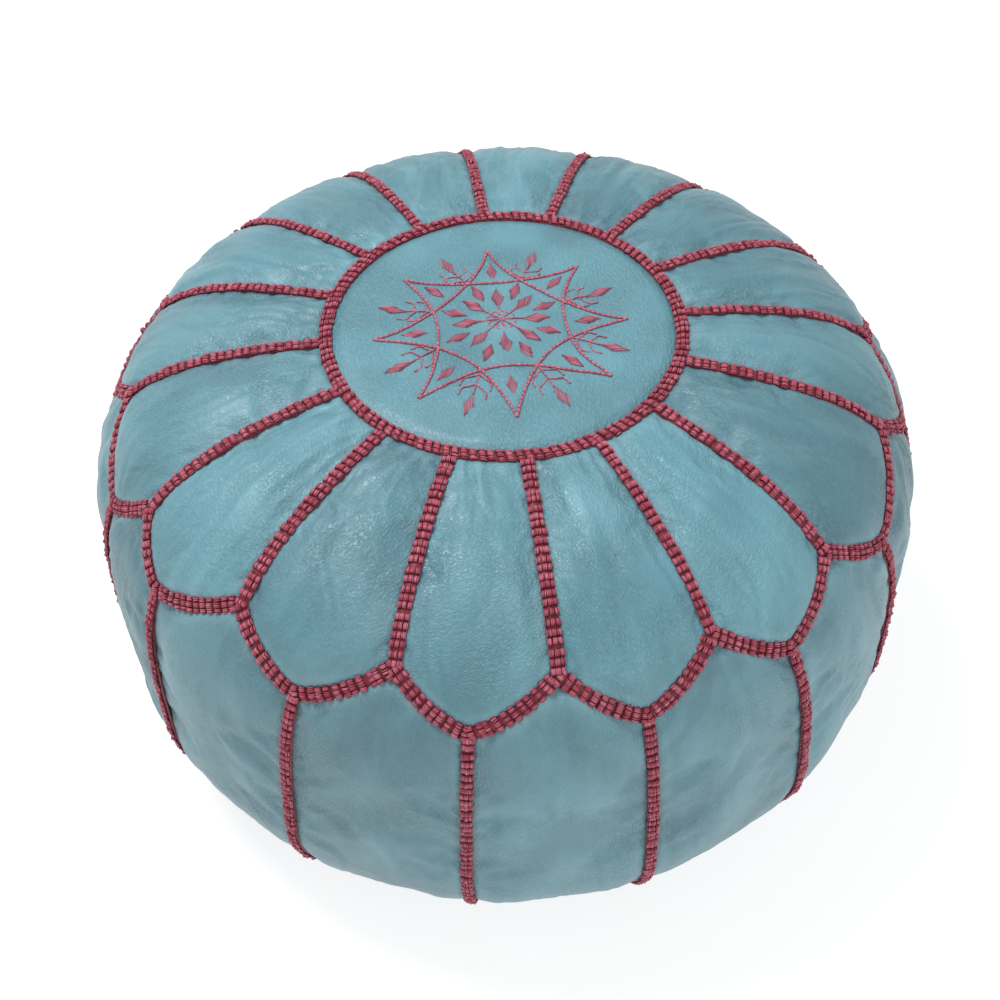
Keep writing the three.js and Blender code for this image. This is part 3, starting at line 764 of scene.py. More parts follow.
# The bed's corners, as (to the side, up) at width 1, and the reach of strands that this width suits.
BED_SECTION = np.array([(-4.6, -1.0), (-4.3, 0.3), (0.0, 0.9), (4.3, 0.3), (4.6, -1.0)])
BED_REACH = 5.15


def braid(run, seed, width=1.0, trim=(0.0, 0.0), slant=0.06, columns=BRAID_COLUMNS):
    """A flat braid: ribs across the seam, each of three bundles of short arched strands."""
    random = np.random.default_rng(seed)
    length = run.length - sum(trim)
    ribs = max(2, round(length / BRAID_PITCH))
    step = length / ribs
    rib, column, strand = np.meshgrid(
        np.arange(ribs), np.arange(len(columns)), np.arange(len(BRAID_STRANDS)), indexing="ij"
    )
    rib, column, strand = rib.ravel(), column.ravel(), strand.ravel()
    total = len(rib)
    rib_shift = random.normal(0, 0.09, ribs)
    rib_height = 1 + random.normal(0, 0.09, ribs)
    rib_width = 1 + random.normal(0, 0.045, ribs)
    rib_tone = random.uniform(0.25, 0.75, ribs)
    cell_tilt = random.normal(0, 0.22, (ribs, len(columns)))
    cell_height = 1 + random.normal(0, 0.12, (ribs, len(columns)))
    knots = np.arange(0, ribs + 6, 6)
    wander = np.interp(np.arange(ribs), knots, random.normal(0, 0.35, len(knots)))
    q = np.linspace(0, 1, STATIONS)[None, :]
    middle = (rib + 0.5 + rib_shift[rib])[:, None] * step + trim[0]
    s = middle + (q - 0.5) * step * STRAND_SHARE
    across = np.asarray(columns)[column] + np.asarray(BRAID_STRANDS)[strand]
    across = across[:, None] * width * rib_width[rib][:, None]
    across = across + (q - 0.5) * cell_tilt[rib, column][:, None] * 1.6 + wander[rib][:, None]
    across = across + random.normal(0, 0.13, (total, 1))
    s = s + slant * across
    arch = np.clip(4 * q * (1 - q), 0, 1) ** 0.62
    reach = max(abs(c) for c in columns) + STRANDS_REACH
    dome = 1 - 0.5 * (across / (reach * width)) ** 2
    tall = RIB_HEIGHT * rib_height[rib][:, None] * cell_height[rib, column][:, None]
    rounded = 1 - 0.13 * np.abs(np.asarray(BRAID_STRANDS)[strand])[:, None]
    lift = BED_LIFT + 0.1 + tall * arch * dome * rounded
    centres, ups = run.at(s, across, lift)
    radius = STRAND_RADIUS * (0.5 + 0.5 * arch) * (1 + random.normal(0, 0.06, (total, 1)))
    points, groups, turn = tubes(centres, ups, radius)
    tone = np.clip(rib_tone[rib] + random.normal(0, 0.3, total), 0, 1)
    # Painted shading: lighter on each strand's arch, on the braid's middle and on each tube's upper side,
    # darker towards the strands' ends.
    painted_thread_shading = arch * (0.72 + 0.28 * dome) * rounded
    spread = lambda values: np.broadcast_to(values, (total, STATIONS))[:, :, None] + np.zeros(TUBE_SIDES)
    around = np.sin(turn)
    attributes = {
        "tone": spread(tone[:, None]).ravel(),
        "painted_thread_shading": np.clip(spread(painted_thread_shading) * (0.72 + 0.28 * around), 0, 1).ravel(),
        "twist": (spread(s * 2 * PI / PLY_PITCH) + turn * 2).ravel(),
    }
    return [(points, groups, attributes), braid_bed(run, width * reach / BED_REACH, trim)]


def braid_bed(run, width, trim):
    """The ribbon of thread under the strands, given the deep colour all over: painted shade."""
    steps = max(3, int(run.length / 3))
    s = np.linspace(trim[0], run.length - trim[1], steps)
    corners = len(BED_SECTION)
    across = BED_SECTION[:, 0] * width + np.zeros((steps, 1))
    lift = BED_SECTION[:, 1] + BED_LIFT + np.zeros((steps, 1))
    points, _ = run.at(s[:, None] + np.zeros((1, corners)), across, lift)
    faces = grid_faces(steps, corners, wrap=True)
    first = np.arange(corners)[None, :]
    ends = [] if run.closed else [first, first[:, ::-1] + (steps - 1) * corners]
    flat = np.zeros(steps * corners)
    attributes = {"tone": flat, "painted_thread_shading": flat, "twist": flat}
    return points.reshape(-1, 3), [faces, *ends], attributes


def braid_object(name, parts, *nodes):
    points, groups, attributes = joined(parts)
    obj = make_object(name, points, groups, braid_thread, **attributes)
    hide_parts(*nodes)


def seam_run(top_edge, bottom_edge, place, start, end):
    share = np.linspace(start, end, 240)
    return Run(*between(top_edge, bottom_edge, place + np.zeros(240), share))


ring_place = np.linspace(0, PANELS, 961)[:-1]
ring = Run(*ring_edge(ring_place), closed=True)
braid_object("thread_ring", braid(ring, 1, 0.8, slant=0.28), "ring_braid")

# The braid's width on each seam between two petals, as a share: some were pulled tighter.
petal_length = CORNER_ALONG - RING_ALONG
RADIAL_WIDTHS = [0.8, 0.8, 0.8, 0.66, 0.8, 0.78, 0.6, 0.7, 0.66, 0.64, 0.66, 0.64, 0.64, 0.66, 0.72, 0.78]
for index in range(PANELS):
    run = seam_run(ring_edge, scallop_edge, index, 3.6 / petal_length, 1 + 0.8 / petal_length)
    parts = braid(run, 20 + index, RADIAL_WIDTHS[index])
    braid_object(f"thread_radial_{index + 1:02d}", parts, f"radial_braid_{index + 1:02d}")

zigzag = []
for leg in range(2 * PANELS):
    # A hair to one side of the corner, so that a leg doesn't take its neighbour's direction there.
    places = np.linspace(leg / 2, leg / 2 + 0.5, 200) + (1e-9 if leg % 2 else -1e-9)
    run = Run(*scallop_edge(places))
    overlap = (-1.6, 2.4) if leg % 2 else (-0.8, -1.2)
    zigzag += braid(run, 60 + leg, 0.94, trim=overlap)
braid_object("thread_scallop", zigzag, "scallop_side_braid")

side_end = (along_at_lower_radius(BRAID_END_RADIUS) - TIP_ALONG) / (OUTLINE_LENGTH - TIP_ALONG)
for index in range(PANELS):
    run = seam_run(scallop_edge, hem_edge, index + 0.5, 0.006, side_end)
    name = f"thread_side_{index + 1:02d}"
    braid_object(name, braid(run, 100 + index, 0.72, columns=(-3.0, 0.6, 3.6)), "scallop_side_braid")

# ------ Medallion and embroidery ------

MEDALLION_EDGE = RING_ALONG - 0.4


def medallion_height(x, y):
    """The height of the medallion's face: gently swollen, dipping under the ring's braid."""
    radius = np.hypot(x, y)
    plain = profile_at(radius)[1]
    share = np.clip(radius / MEDALLION_EDGE, 0, 1)
    dip = -3.3 * smooth(share, 0.9, 1.0) - 0.5 * share**4
    waves = 0.55 * noise(x / 34, y / 34, 501) + 0.3 * noise(x / 15 + 2, y / 17, 502)
    turn = np.arctan2(y, x)
    pucker = 0.3 * noise(turn * 24, radius / 30, 503) * np.exp(-(MEDALLION_EDGE - radius) / 9)
    lines = 0.6 * creases(x, y, 504, 9, 1.8, 0.3, (10, 28))
    settle = smooth(MEDALLION_EDGE - radius, 2, 12)
    return plain + dip + (waves + lines) * settle + pucker * smooth(MEDALLION_EDGE - radius, 4, 8)


def medallion():
    rings, around = 56, 300
    radius = np.concatenate([[0.4], np.linspace(2, MEDALLION_EDGE, rings)])
    turn = np.linspace(0, 2 * PI, around + 1)[:-1]
    x = radius[:, None] * np.cos(turn)
    y = radius[:, None] * np.sin(turn)
    z = medallion_height(x, y)
    top = np.stack([x, y, z], -1)
    rows = len(radius)
    count = rows * around
    points = np.concatenate([top.reshape(-1, 3), top.reshape(-1, 3) - [0, 0, VISIBLE_LEATHER]])
    faces = grid_faces(rows, around, wrap=True)
    ring = np.arange(around)
    after = np.roll(ring, -1)
    last = count - around
    edge = np.stack([last + ring, last + count + ring, last + count + after, last + after], -1)
    centre = ring[None, :]
    groups = [faces, faces[:, ::-1] + count, edge, centre, centre[:, ::-1] + count]
    out = np.hypot(x, y)
    relief = (z - profile_at(out)[1]).ravel()
    rim = np.clip(out.ravel() / MEDALLION_EDGE, 0, 1)
    # Painted shading: lighter where the face swells, darker where it sinks, and painted shade round the
    # rim where it dips under the ring's braid.
    wear = np.clip(0.3 * relief, -0.4, 0.4) * (rim < 0.93) - 0.7 * smooth(rim, 0.93, 0.99)
    tone = 0.62 + 0.25 * noise(x / 30, y / 30, 505).ravel()
    hide = {key: np.tile(values.ravel(), 2) for key, values in hide_axes(x, y, 506).items()}
    attributes = {"tone": np.tile(tone, 2), "wear": np.tile(wear, 2), **hide}
    obj = make_object("leather_medallion", points, groups, petal_leather, **attributes)
    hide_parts("top_medallion")


medallion()

STAR_TIP = 0.74
STAR_WAIST = 0.37
STAR_FIRST_TIP = math.radians(11.25)
STAR_SQUASH = (0.965, 0.935)
STAR_SHIFT = (-1.0, -5.5)
MIDDLE_SHIFT = (-0.5, 8.0)


def embroidery_place(share, turn):
    """Where a point of the pattern falls on the medallion: it is sewn a little squashed and off centre."""
    share = np.asarray(share, float)
    turn = np.asarray(turn, float)
    # One point of the star leans towards its neighbour.
    lean = np.exp(-((np.angle(np.exp(1j * (turn - STAR_FIRST_TIP + PI / 4))) / 0.35) ** 2))
    turn = turn + 0.09 * lean * smooth(share, 0.4, 0.7)
    settle = 1 - smooth(share, 0.15, 0.7)
    x = share * RING_ALONG * np.cos(turn) * STAR_SQUASH[0]
    y = share * RING_ALONG * np.sin(turn) * STAR_SQUASH[1]
    x = x + STAR_SHIFT[0] + MIDDLE_SHIFT[0] * settle
    y = y + STAR_SHIFT[1] + MIDDLE_SHIFT[1] * settle
    return x, y


def stitched(x, y, seed, stitch=3.4, thick=0.6, strands=2, twist=0.5):
    """A backstitched line through points: short stitches of plied thread."""
    random = np.random.default_rng(seed)
    s = cumulative(np.hypot(np.diff(x), np.diff(y)), 0)
    count = max(1, round(s[-1] / stitch))
    step = s[-1] / count
    index = np.repeat(np.arange(count), strands)
    strand = np.tile(np.arange(strands), count)
    q = np.linspace(0, 1, STATIONS)[None, :]
    at = (index[:, None] + q * 1.08 - 0.04) * step
    px = np.interp(at, s, x)
    py = np.interp(at, s, y)
    ahead = np.clip(at + 0.4, 0, s[-1])
    behind = np.clip(at - 0.4, 0, s[-1])
    dx = np.interp(ahead, s, x) - np.interp(behind, s, x)
    dy = np.interp(ahead, s, y) - np.interp(behind, s, y)
    size = np.maximum(np.hypot(dx, dy), 1e-9)
    side = (strand - (strands - 1) / 2)[:, None] * 2 * twist * np.cos(PI * q)
    side = side + random.normal(0, 0.09, (len(index), 1))
    px = px - dy / size * side
    py = py + dx / size * side
    arch = np.sqrt(np.clip(4 * q * (1 - q), 0, 1))
    lift = 0.1 + 0.5 * arch + np.where(strand[:, None] > 0, 0.15, 0) * arch
    return thread_parts(px, py, lift, thick * (0.75 + 0.25 * arch), arch, random)


def thread_look(random, distance, turn, painted_thread_shading):
    """The attributes of some short fine threads, with a tone for each."""
    tone = random.uniform(0.3, 0.8, (len(turn), 1, 1)) + np.zeros(turn.shape)
    twist = distance[..., None] * 2 * PI / FINE_PLY_PITCH + turn * 2
    return {"tone": tone.ravel(), "painted_thread_shading": painted_thread_shading.ravel(), "twist": twist.ravel()}


def thread_parts(px, py, lift, radius, arch, random):
    """Threads that lie on the medallion."""
    centres = np.stack([px, py, medallion_height(px, py) + lift], -1)
    ups = np.zeros_like(centres)
    ups[..., 2] = 1
    points, groups, turn = tubes(centres, ups, radius + np.zeros(px.shape))
    distance = cumulative(np.linalg.norm(np.diff(centres, axis=1), axis=-1), 1)
    # Painted shading: lighter on each thread's arch and upper side.
    painted_thread_shading = (0.45 + 0.55 * arch)[..., None] * (0.75 + 0.25 * np.sin(turn))
    return points, groups, thread_look(random, distance, turn, painted_thread_shading)


def satin(centre, turn, half_length, half_width, seed, slant=1, spacing=0.98):
    """A diamond filled with parallel threads that run along one pair of its sides."""
    random = np.random.default_rng(seed)
    a = half_length * RING_ALONG
    b = half_width * RING_ALONG * slant
    size = math.hypot(a, b)
    count = max(3, round(abs(2 * a * b) / size / spacing))
    q = (np.arange(count) + 0.5)[:, None] / count
    t = np.linspace(0, 1, STATIONS)[None, :]
    arch = np.sqrt(np.clip(4 * t * (1 - t), 0, 1)) + np.zeros((count, 1))
    ends = random.normal(0, 0.02, (count, 2))
    t = ends[:, :1] + t * (1 + ends[:, 1:])
    along = -a + q * a + t * a
    across = -q * b + t * b
    across = across + random.normal(0, 0.06, (count, 1))
    cx, cy = embroidery_place(centre, turn)
    px = cx + along * math.cos(turn) - across * math.sin(turn)
    py = cy + along * math.sin(turn) + across * math.cos(turn)
    lift = 0.05 + 0.55 * arch
    return thread_parts(px, py, lift, 0.4 * (0.7 + 0.3 * arch), arch, random)


def direction(angle):
    return np.array([math.cos(angle), math.sin(angle)])


def star_square(first):
    """One square with hollow sides, in shares of the ring's radius: the x and y of each side's points."""
    sides = []
    for corner in range(4):
        a = first + corner * PI / 2
        ends = [direction(v) for v in (a, a + PI / 2)]
        pull = direction(a + PI / 4) * (2 * STAR_WAIST - STAR_TIP * math.sqrt(0.5))
        t = np.linspace(0, 1, 60)[:, None]
        side = ends[0] * STAR_TIP * (1 - t) ** 2 + 2 * pull * t * (1 - t) + ends[1] * STAR_TIP * t**2
        sides.append(side.T)
    return sides


def polar_line(points, seed, **kind):
    """A stitched line through (share, turn) points, rounded by a spline."""
    share = np.array([p[0] for p in points])
    turn = np.array([p[1] for p in points])
    x, y = share * np.cos(turn), share * np.sin(turn)
    if len(points) > 2:
        fine = refine(np.stack([x, y], -1), 8, 0)
        x, y = fine[:, 0], fine[:, 1]
    x, y = embroidery_place(np.hypot(x, y), np.arctan2(y, x))
    return stitched(x, y, seed, **kind)


STEM = {"stitch": 3.2, "thick": 0.52, "strands": 1}
BRANCH = {"stitch": 3.0, "thick": 0.5, "strands": 1, "twist": 0.0}
BRANCH_LEAN = math.radians(62)
# How far out each pair of a sprig's branches starts, and how long it is.
BRANCH_PAIRS = [(0.45, 0.092), (0.52, 0.082)]


def embroidery():
    parts = []
    for square in range(2):
        for number, (x, y) in enumerate(star_square(STAR_FIRST_TIP + square * PI / 4)):
            px, py = embroidery_place(np.hypot(x, y), np.arctan2(y, x))
            parts.append(stitched(px, py, 300 + 10 * square + number))
    for k in range(8):
        tip = STAR_FIRST_TIP + k * PI / 4
        cross = tip + PI / 8
        flip = 1 if k % 2 else -1
        parts.append(satin(0.205, tip, 0.085, 0.038, 320 + k, flip))
        parts.append(polar_line([(0.0, tip), (0.13, tip)], 330 + k, **STEM))
        parts.append(satin(0.285, cross, 0.08, 0.033, 340 + k, -flip))
        parts.append(satin(0.505, tip, 0.08, 0.032, 350 + k, flip))
        # A small curl between the stems at the middle.
        curl = [(0.04, cross - 0.2), (0.07, cross - 0.15), (0.085, cross + 0.05), (0.08, cross + 0.3)]
        parts.append(polar_line(curl, 360 + k, **BRANCH))
        # A sprig outwards from the crossing: a stem, two pairs of hooked branches and a diamond.
        parts.append(polar_line([(0.4, cross), (0.585, cross)], 370 + k, **STEM))
        for pair, (foot, reach) in enumerate(BRANCH_PAIRS):
            for hand in (-1, 1):
                way = direction(cross + hand * BRANCH_LEAN)
                out = direction(cross)
                base = foot * out
                end = base + way * reach
                hook = end + out * 0.045 + way * 0.008
                xy = np.array([base, base + way * reach * 0.5, end, hook])
                points = [(math.hypot(*p), math.atan2(p[1], p[0])) for p in xy]
                parts.append(polar_line(points, 400 + 8 * k + 2 * pair + hand, **BRANCH))
        parts.append(satin(0.665, cross, 0.095, 0.032, 380 + k, flip))
    points, groups, attributes = joined(parts)
    obj = make_object("embroidery", points, groups, star_thread, **attributes)
    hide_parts("star_embroidery")


embroidery()

# ------ Base ------

ZIP_LENGTH = 300.0
CHANNEL_DEPTH = 7.0
CHANNEL_FLAT = 12.0
CHANNEL_FOOT = 25.0
SLOT_HALF = 7.0
BASE_EDGE = BASE_RADIUS + 0.3
EDGE_TURNED_IN = 3.6
RIM_SEAM = 170.5
ZIP_SEAM = 9.6


def base_face(x, y):
    """The height of the base's underside: flat where it rests, raised in a channel along the zip."""
    channel = CHANNEL_DEPTH * (1 - smooth(np.abs(y), CHANNEL_FLAT, CHANNEL_FOOT))
    radius = np.hypot(x, y)
    flat = smooth(np.abs(y), CHANNEL_FOOT - 4, CHANNEL_FOOT + 6)
    hollows = 0.45 * (1 + noise(x / 26, y / 26, 601)) + 0.25 * (1 + noise(x / 9, y / 11, 602))
    groove = 1.1 * np.exp(-(((radius - RIM_SEAM) / 1.6) ** 2))
    fold = 0.7 * np.exp(-(((np.abs(y) - ZIP_SEAM) / 0.8) ** 2)) * (np.abs(x) < ZIP_LENGTH / 2 + 4)
    edge = EDGE_TURNED_IN * smooth(radius, RIM_SEAM + 0.8, BASE_EDGE) * (1 - channel / CHANNEL_DEPTH)
    return channel + hollows * flat * 0.8 + groove + fold * 0.6 + edge


def base_half(name, sign):
    turn = np.linspace(math.radians(178.5), math.radians(1.5), 170)
    x = BASE_EDGE * np.cos(turn)[None, :]
    rim = BASE_EDGE * np.sin(turn)[None, :]
    slot = np.where(np.abs(x) <= ZIP_LENGTH / 2 + 2.5, SLOT_HALF + 0.3, 0.5)
    rows = np.concatenate([np.linspace(0, 0.24, 16)[:-1], np.linspace(0.24, 1, 60)])[:, None]
    y = slot + (rim - slot) * rows
    x = x + np.zeros_like(y)
    outer = np.stack([x, sign * y, base_face(x, y)], -1)
    if sign < 0:
        outer = outer[:, ::-1]
    px, py, relief = np.moveaxis(outer, -1, 0)
    edge = np.abs(py) - SLOT_HALF
    # Painted shade where the underside rises off the floor, most in the zip channel and at the turned-in
    # rim, and paler along the zip slot's edges.
    wear = np.clip(0.5 - relief * 0.25, -0.5, 0.5) + 0.35 * np.exp(-edge / 2.0)
    tone = 0.45 + 0.3 * noise(px / 50, py / 50, 604)
    hide = hide_axes(px, py, 605)
    obj = sheet_object("leather_" + name, outer, 2.2, base_leather, tone=tone, wear=wear, **hide)
    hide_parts(name)


base_half("base_half_front", -1)
base_half("base_half_back", 1)


def row_of_stitches(x, y, z, seed, stitch=5.0, gap=1.4, thick=0.38):
    """Lock stitches along a line on the underside."""
    random = np.random.default_rng(seed)
    s = cumulative(np.hypot(np.diff(x), np.diff(y)), 0)
    count = round(s[-1] / (stitch + gap))
    q = np.linspace(0, 1, STATIONS)[None, :]
    at = (np.arange(count)[:, None] + 0.5) * s[-1] / count + (q - 0.5) * stitch
    arch = np.sqrt(np.clip(4 * q * (1 - q), 0, 1)) + np.zeros((count, 1))
    height = np.interp(at, s, z) + 0.45 - 0.55 * arch
    centres = np.stack([np.interp(at, s, x), np.interp(at, s, y), height], -1)
    ups = np.zeros_like(centres)
    ups[..., 2] = -1
    points, groups, turn = tubes(centres, ups, thick * (0.8 + 0.2 * arch))
    # Painted shading: lighter on each stitch's arch.
    painted_thread_shading = (0.5 + 0.5 * arch)[..., None] + np.zeros(turn.shape)
    return points, groups, thread_look(random, at, turn, painted_thread_shading)


def underside_stitching():
    parts = []
    for sign in (-1, 1):
        x = np.linspace(-ZIP_LENGTH / 2, ZIP_LENGTH / 2, 300)
        y = sign * np.full(300, ZIP_SEAM)
        parts.append(row_of_stitches(x, y, base_face(x, np.abs(y)), 610 + sign, 3.6, 1.0, 0.32))
        y = np.linspace(-ZIP_SEAM, ZIP_SEAM, 30)
        x = sign * np.full(30, ZIP_LENGTH / 2 + 3.4)
        parts.append(row_of_stitches(x, y, base_face(x, np.abs(y)), 613 + sign, 3.2, 1.0, 0.32))
    turn = np.linspace(0, 2 * PI, 720)
    x = RIM_SEAM * np.cos(turn)
    y = RIM_SEAM * np.sin(turn)
    parts.append(row_of_stitches(x, y, base_face(x, np.abs(y)) - 0.1, 616))
    points, groups, attributes = joined(parts)
    points[:, 2] = np.maximum(points[:, 2], 0.05)
    make_object("underside_stitching", points, groups, star_thread, **attributes)


underside_stitching()

# ------ Zip ------


def woven(name, light, dark, pitch, depth, roughness):
    """Plain weave, in three dimensions so that it needs no layout."""
    n = Nodes(name)
    waves = []
    for axis in ("X", "Y"):
        inputs = {"Vector": n.place, "Scale": pitch, "Distortion": 0.4, "Detail": 1.0}
        waves.append(n.add("ShaderNodeTexWave", inputs, bands_direction=axis).outputs["Fac"])
    weave = n.math("MAXIMUM", waves[0], waves[1])
    cloudy = n.noise(40.0, 3.0)
    fuzz = n.noise(1800.0, 2.0)
    color = n.mix(n.math("MULTIPLY", weave, n.ranged(cloudy, 0.2, 0.8, 0.6, 1.0)), dark, light)
    normal = n.bump(n.weighted((weave, 1), (fuzz, 0.4)), depth, 0.8)
    uniform = {"Sheen_Weight": 0.3, "Sheen_Roughness": 0.5}
    return n.finish(color, roughness, normal, **uniform)


def aged_brass(name):
    n = Nodes(name)
    cloudy = n.noise(420.0, 4.0, 0.6)
    scratch = n.noise(1.0, 3.0, 0.6, vector=n.stretch((300.0, 2600.0, 900.0)))
    dull = n.math("MULTIPLY", n.ranged(cloudy, 0.42, 0.62), 0.6)
    color = n.mix(dull, srgb(196, 158, 96), srgb(120, 92, 58))
    rough = n.weighted((n.ranged(scratch, 0.3, 0.7, 0.24, 0.42), 1), (dull, 0.2))
    normal = n.bump(n.math("ADD", scratch, cloudy), 0.00004, 0.4)
    return n.finish(color, rough, normal, Metallic=1.0)


tape_cloth = woven("zip_tape", srgb(78, 96, 102), srgb(42, 54, 60), 900.0, 0.0002, 0.8)
zip_metal = aged_brass("zip_metal")

TAPE_BOTTOM = 9.8
TOOTH_BOTTOM = 8.4
TOOTH_TOP = 12.0
TOOTH_PITCH = 4.2
TOOTH_LENGTH = 2.4
# A tooth's root that grips the tape, its neck and its head: from and to across, slimmer, lower.
TOOTH_BLOCKS = ((2.9, 4.2, 0.0, 0.0), (1.5, 3.0, 0.35, 0.3), (0.8, 2.0, 0.1, 0.15))


def blocks(lows, highs, bevel):
    """Chamfered boxes between corners, as points and groups of faces."""
    lows, highs = np.asarray(lows, float), np.asarray(highs, float)
    corner = np.array([[i & 1, i >> 1 & 1, i >> 2 & 1] for i in range(8)])
    place = np.where(corner[None], highs[:, None], lows[:, None])
    inward = (1 - 2 * corner) * bevel
    points = np.repeat(place[:, :, None], 3, axis=2)
    for axis in range(3):
        others = [k for k in range(3) if k != axis]
        points[:, :, axis, others] += inward[None][:, :, others]
    at = lambda i, axis: i * 3 + axis
    quads, triangles = [], []
    for axis in range(3):
        b, c = (axis + 1) % 3, (axis + 2) % 3
        for side in (0, 1):
            loop = [(side << axis) | (p << b) | (q << c) for p, q in ((0, 0), (1, 0), (1, 1), (0, 1))]
            quad = [at(i, axis) for i in loop]
            quads.append(quad if side else quad[::-1])
        for p in (0, 1):
            for q in (0, 1):
                i = (p << b) | (q << c)
                j = i | (1 << axis)
                quad = [at(i, b), at(j, b), at(j, c), at(i, c)]
                quads.append(quad if p == q else quad[::-1])
    for i in range(8):
        triangle = [at(i, 0), at(i, 1), at(i, 2)]
        triangles.append(triangle if bin(i).count("1") % 2 else triangle[::-1])
    start = (np.arange(len(lows)) * 24)[:, None, None]
    return points.reshape(-1, 3), [
        (np.array(quads)[None] + start).reshape(-1, 4),
        (np.array(triangles)[None] + start).reshape(-1, 3),
    ]


def stringer(name, sign):
    first = -ZIP_LENGTH / 2 + (0 if sign > 0 else TOOTH_PITCH / 2)
    x = first + np.arange(int(ZIP_LENGTH / TOOTH_PITCH)) * TOOTH_PITCH
    lows, highs = [], []
    for start in x:
        for inner, outer, slim, drop in TOOTH_BLOCKS:
            ends = sorted((sign * inner, sign * outer))
            lows.append([start + slim, ends[0], TOOTH_BOTTOM + drop])
            highs.append([start + TOOTH_LENGTH - slim, ends[1], TOOTH_TOP - drop])
    points, groups = blocks(lows, highs, 0.3)
    teeth = make_object(f"zip_teeth_{name}", points, groups, zip_metal, smooth_faces=False)
    columns = np.linspace(-ZIP_LENGTH / 2 - 5, ZIP_LENGTH / 2 + 5, 240)
    if sign < 0:
        columns = columns[::-1]
    rows = sign * np.linspace(3.9, 12.9, 12)
    px, py = np.meshgrid(columns, rows)
    bottom = TAPE_BOTTOM + 0.06 + 0.05 * noise(px / 12, py / 5, 620) ** 2
    tape = sheet_object(f"zip_tape_{name}", np.stack([px, py, bottom], -1), 0.7, tape_cloth)
    cord_y = np.full(len(columns), sign * 4.9)
    cord_z = np.full(len(columns), TAPE_BOTTOM)
    points, groups, _ = row_of_stitches(columns, cord_y, cord_z, 640 + sign, 1.6, 0.5, 0.22)
    cord = make_object(f"zip_cord_{name}", points, groups, tape_cloth)
    node = f"zip_stringer_{name}"
    for obj in (teeth, tape, cord):
        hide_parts(node)


stringer("front", -1)
stringer("back", 1)


def evaluated_copy(name, node, body, material, kind, values):
    """A refined copy of a CAD node's mesh, with a modifier applied."""
    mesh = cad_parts[node].data.copy()
    mesh.name = name
    mesh.materials.clear()
    obj = bpy.data.objects.new(name, mesh)
    bpy.context.scene.collection.objects.link(obj)
    weld = obj.modifiers.new("weld", "WELD")
    weld.merge_threshold = 0.00001
    modifier = obj.modifiers.new(kind, kind)
    for key, value in values.items():
        setattr(modifier, key, value)
    shown = obj.evaluated_get(bpy.context.evaluated_depsgraph_get())
    final = bpy.data.meshes.new_from_object(shown)
    obj.modifiers.clear()
    obj.data = final
    bpy.data.meshes.remove(mesh)
    final.materials.clear()
    final.materials.append(material)
    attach(obj, body)
    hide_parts(node)
    return obj


def moved(obj, move):
    """Moves a mesh's points by a function of their places and normals, in millimetres."""
    mesh = obj.data
    count = len(mesh.vertices)
    places = np.empty(count * 3, np.float32)
    mesh.vertices.foreach_get("co", places)
    normals = np.empty(count * 3, np.float32)
    mesh.vertices.foreach_get("normal", normals)
    places = places.reshape(-1, 3).astype(float) / MM
    places = move(places, normals.reshape(-1, 3).astype(float))
    mesh.vertices.foreach_set("co", (places * MM).astype(np.float32).ravel())
    mesh.polygons.foreach_set("use_smooth", [True] * len(mesh.polygons))
    mesh.update()


METAL_BEVEL = ("BEVEL", {"width": 0.00022, "segments": 2, "limit_method": "ANGLE", "angle_limit": 0.6})
slider = evaluated_copy("zip_slider_body", "zip_slider", "slider", zip_metal, *METAL_BEVEL)
pull_tab = evaluated_copy("zip_pull", "zip_pull_tab", "pull_tab", zip_metal, *METAL_BEVEL)

# ------ Insert ------

cotton = woven("cotton", srgb(228, 220, 204), srgb(186, 176, 158), 500.0, 0.0003, 0.9)


def fibre(name):
    """Loose stuffing: soft, matt and clumped."""
    n = Nodes(name)
    clumps = n.noise(60.0, 5.0, 0.7, distortion=1.5)
    hair = n.noise(900.0, 4.0, 0.7, distortion=2.0)
    color = n.mix(n.ranged(clumps, 0.3, 0.7), srgb(205, 198, 184), srgb(242, 238, 228))
    normal = n.bump(n.weighted((clumps, 1), (hair, 0.5)), 0.002, 0.9)
    return n.finish(color, 0.95, normal, Sheen_Weight=0.3)


stuffing = fibre("stuffing")
SUBDIVIDE = ("SUBSURF", {"subdivision_type": "SIMPLE", "levels": 3, "render_levels": 3})


def bag_surface(places, normals):
    """Slack cotton: broad dents, and tight gathers round the top and bottom seams."""
    x, y, z = places.T
    turn = np.arctan2(y, x)
    radius = np.hypot(x, y)
    dents = 0.7 * noise(turn * 5, z / 40, 701) + 0.4 * noise(x / 22, y / 22, 702)
    gathers = 0.4 * noise(turn * 40, z / 60, 703) * np.exp(-np.abs(radius - 215) / 25)
    return places + normals * (dents + gathers - 0.3)[:, None] * 0.35


def lumpy(places, normals):
    x, y, z = places.T
    lumps = noise(x / 26 + z / 31, y / 26 - z / 29, 704) + 0.5 * noise(x / 11 + z / 12, y / 12, 705)
    return places - normals * (1.2 + 1.0 * lumps)[:, None]


bag = evaluated_copy("insert_cotton_bag", "insert_bag", "pouf", cotton, *SUBDIVIDE)
moved(bag, bag_surface)
core = evaluated_copy("insert_stuffing", "filling", "pouf", stuffing, *SUBDIVIDE)
moved(core, lumpy)

# ------ Camera, light and floor ------


AZIMUTH = math.radians(5.1)
ELEVATION = math.radians(47.9)
ROLL = math.radians(-0.8)
CAMERA_DISTANCE = 1.064
AIM = Vector((0, 0, 0.155))


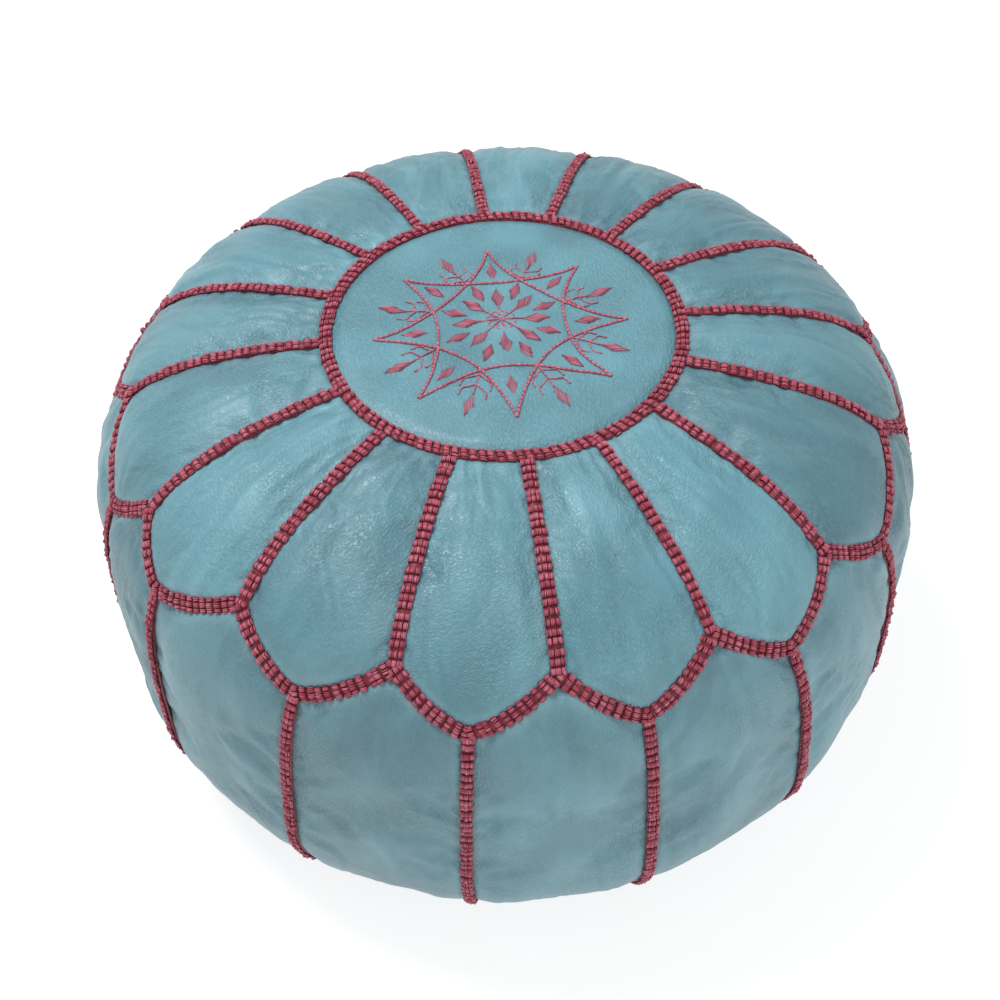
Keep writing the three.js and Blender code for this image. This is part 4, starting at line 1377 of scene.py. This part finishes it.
def add_camera():
    level = math.cos(ELEVATION)
    back = Vector((math.sin(AZIMUTH) * level, -math.cos(AZIMUTH) * level, math.sin(ELEVATION)))
    right = Vector((math.cos(AZIMUTH), math.sin(AZIMUTH), 0))
    up = back.cross(right)
    rolled_right = right * math.cos(ROLL) + up * math.sin(ROLL)
    rolled_up = up * math.cos(ROLL) - right * math.sin(ROLL)
    data = bpy.data.cameras.new("camera")
    data.lens = 55.5
    data.sensor_width = 36
    data.shift_x = -0.006
    data.shift_y = -0.008
    data.clip_start = 0.01
    camera = bpy.data.objects.new("camera", data)
    turn = Matrix((rolled_right, rolled_up, back)).transposed().to_4x4()
    camera.matrix_world = Matrix.Translation(AIM + back * CAMERA_DISTANCE) @ turn
    bpy.context.scene.collection.objects.link(camera)
    bpy.context.scene.camera = camera


LIGHTS_AIM = Vector((0, 0, 0.15))


def add_light(name, place, size, power):
    data = bpy.data.lights.new(name, "AREA")
    data.shape = "DISK"
    data.size = size
    data.energy = power
    light = bpy.data.objects.new(name, data)
    aim = (LIGHTS_AIM - Vector(place)).to_track_quat("-Z", "Y").to_matrix().to_4x4()
    light.matrix_world = Matrix.Translation(Vector(place)) @ aim
    bpy.context.scene.collection.objects.link(light)


# The floor lies a little under the base, so that the two don't flicker.
FLOOR_HALF = 40
FLOOR_HEIGHT = -0.0005


def add_studio():
    world = bpy.data.worlds.new("studio")
    world.use_nodes = True
    background = world.node_tree.nodes["Background"]
    background.inputs["Color"].default_value = (1, 1, 1, 1)
    background.inputs["Strength"].default_value = 0.56
    bpy.context.scene.world = world
    bpy.context.scene.view_settings.view_transform = "Standard"
    add_light("key", (-0.7, 0.25, 1.9), 0.8, 26)
    add_light("front", (1.5, -1.5, 1.4), 1.4, 13)
    # The floor gives off a little light of its own, so that it is white up to the pouf.
    glow = {"Emission_Color": (1, 1, 1, 1), "Emission_Strength": 0.74}
    floor_color = Nodes("floor").finish((0.4, 0.4, 0.4, 1), 0.9, **glow)
    mesh = bpy.data.meshes.new("floor")
    corners = [(-1, -1), (1, -1), (1, 1), (-1, 1)]
    places = [(x * FLOOR_HALF, y * FLOOR_HALF, FLOOR_HEIGHT) for x, y in corners]
    mesh.from_pydata(places, [], [(0, 1, 2, 3)])
    mesh.materials.append(floor_color)
    floor = bpy.data.objects.new("floor", mesh)
    bpy.context.scene.collection.objects.link(floor)


add_camera()
add_studio()
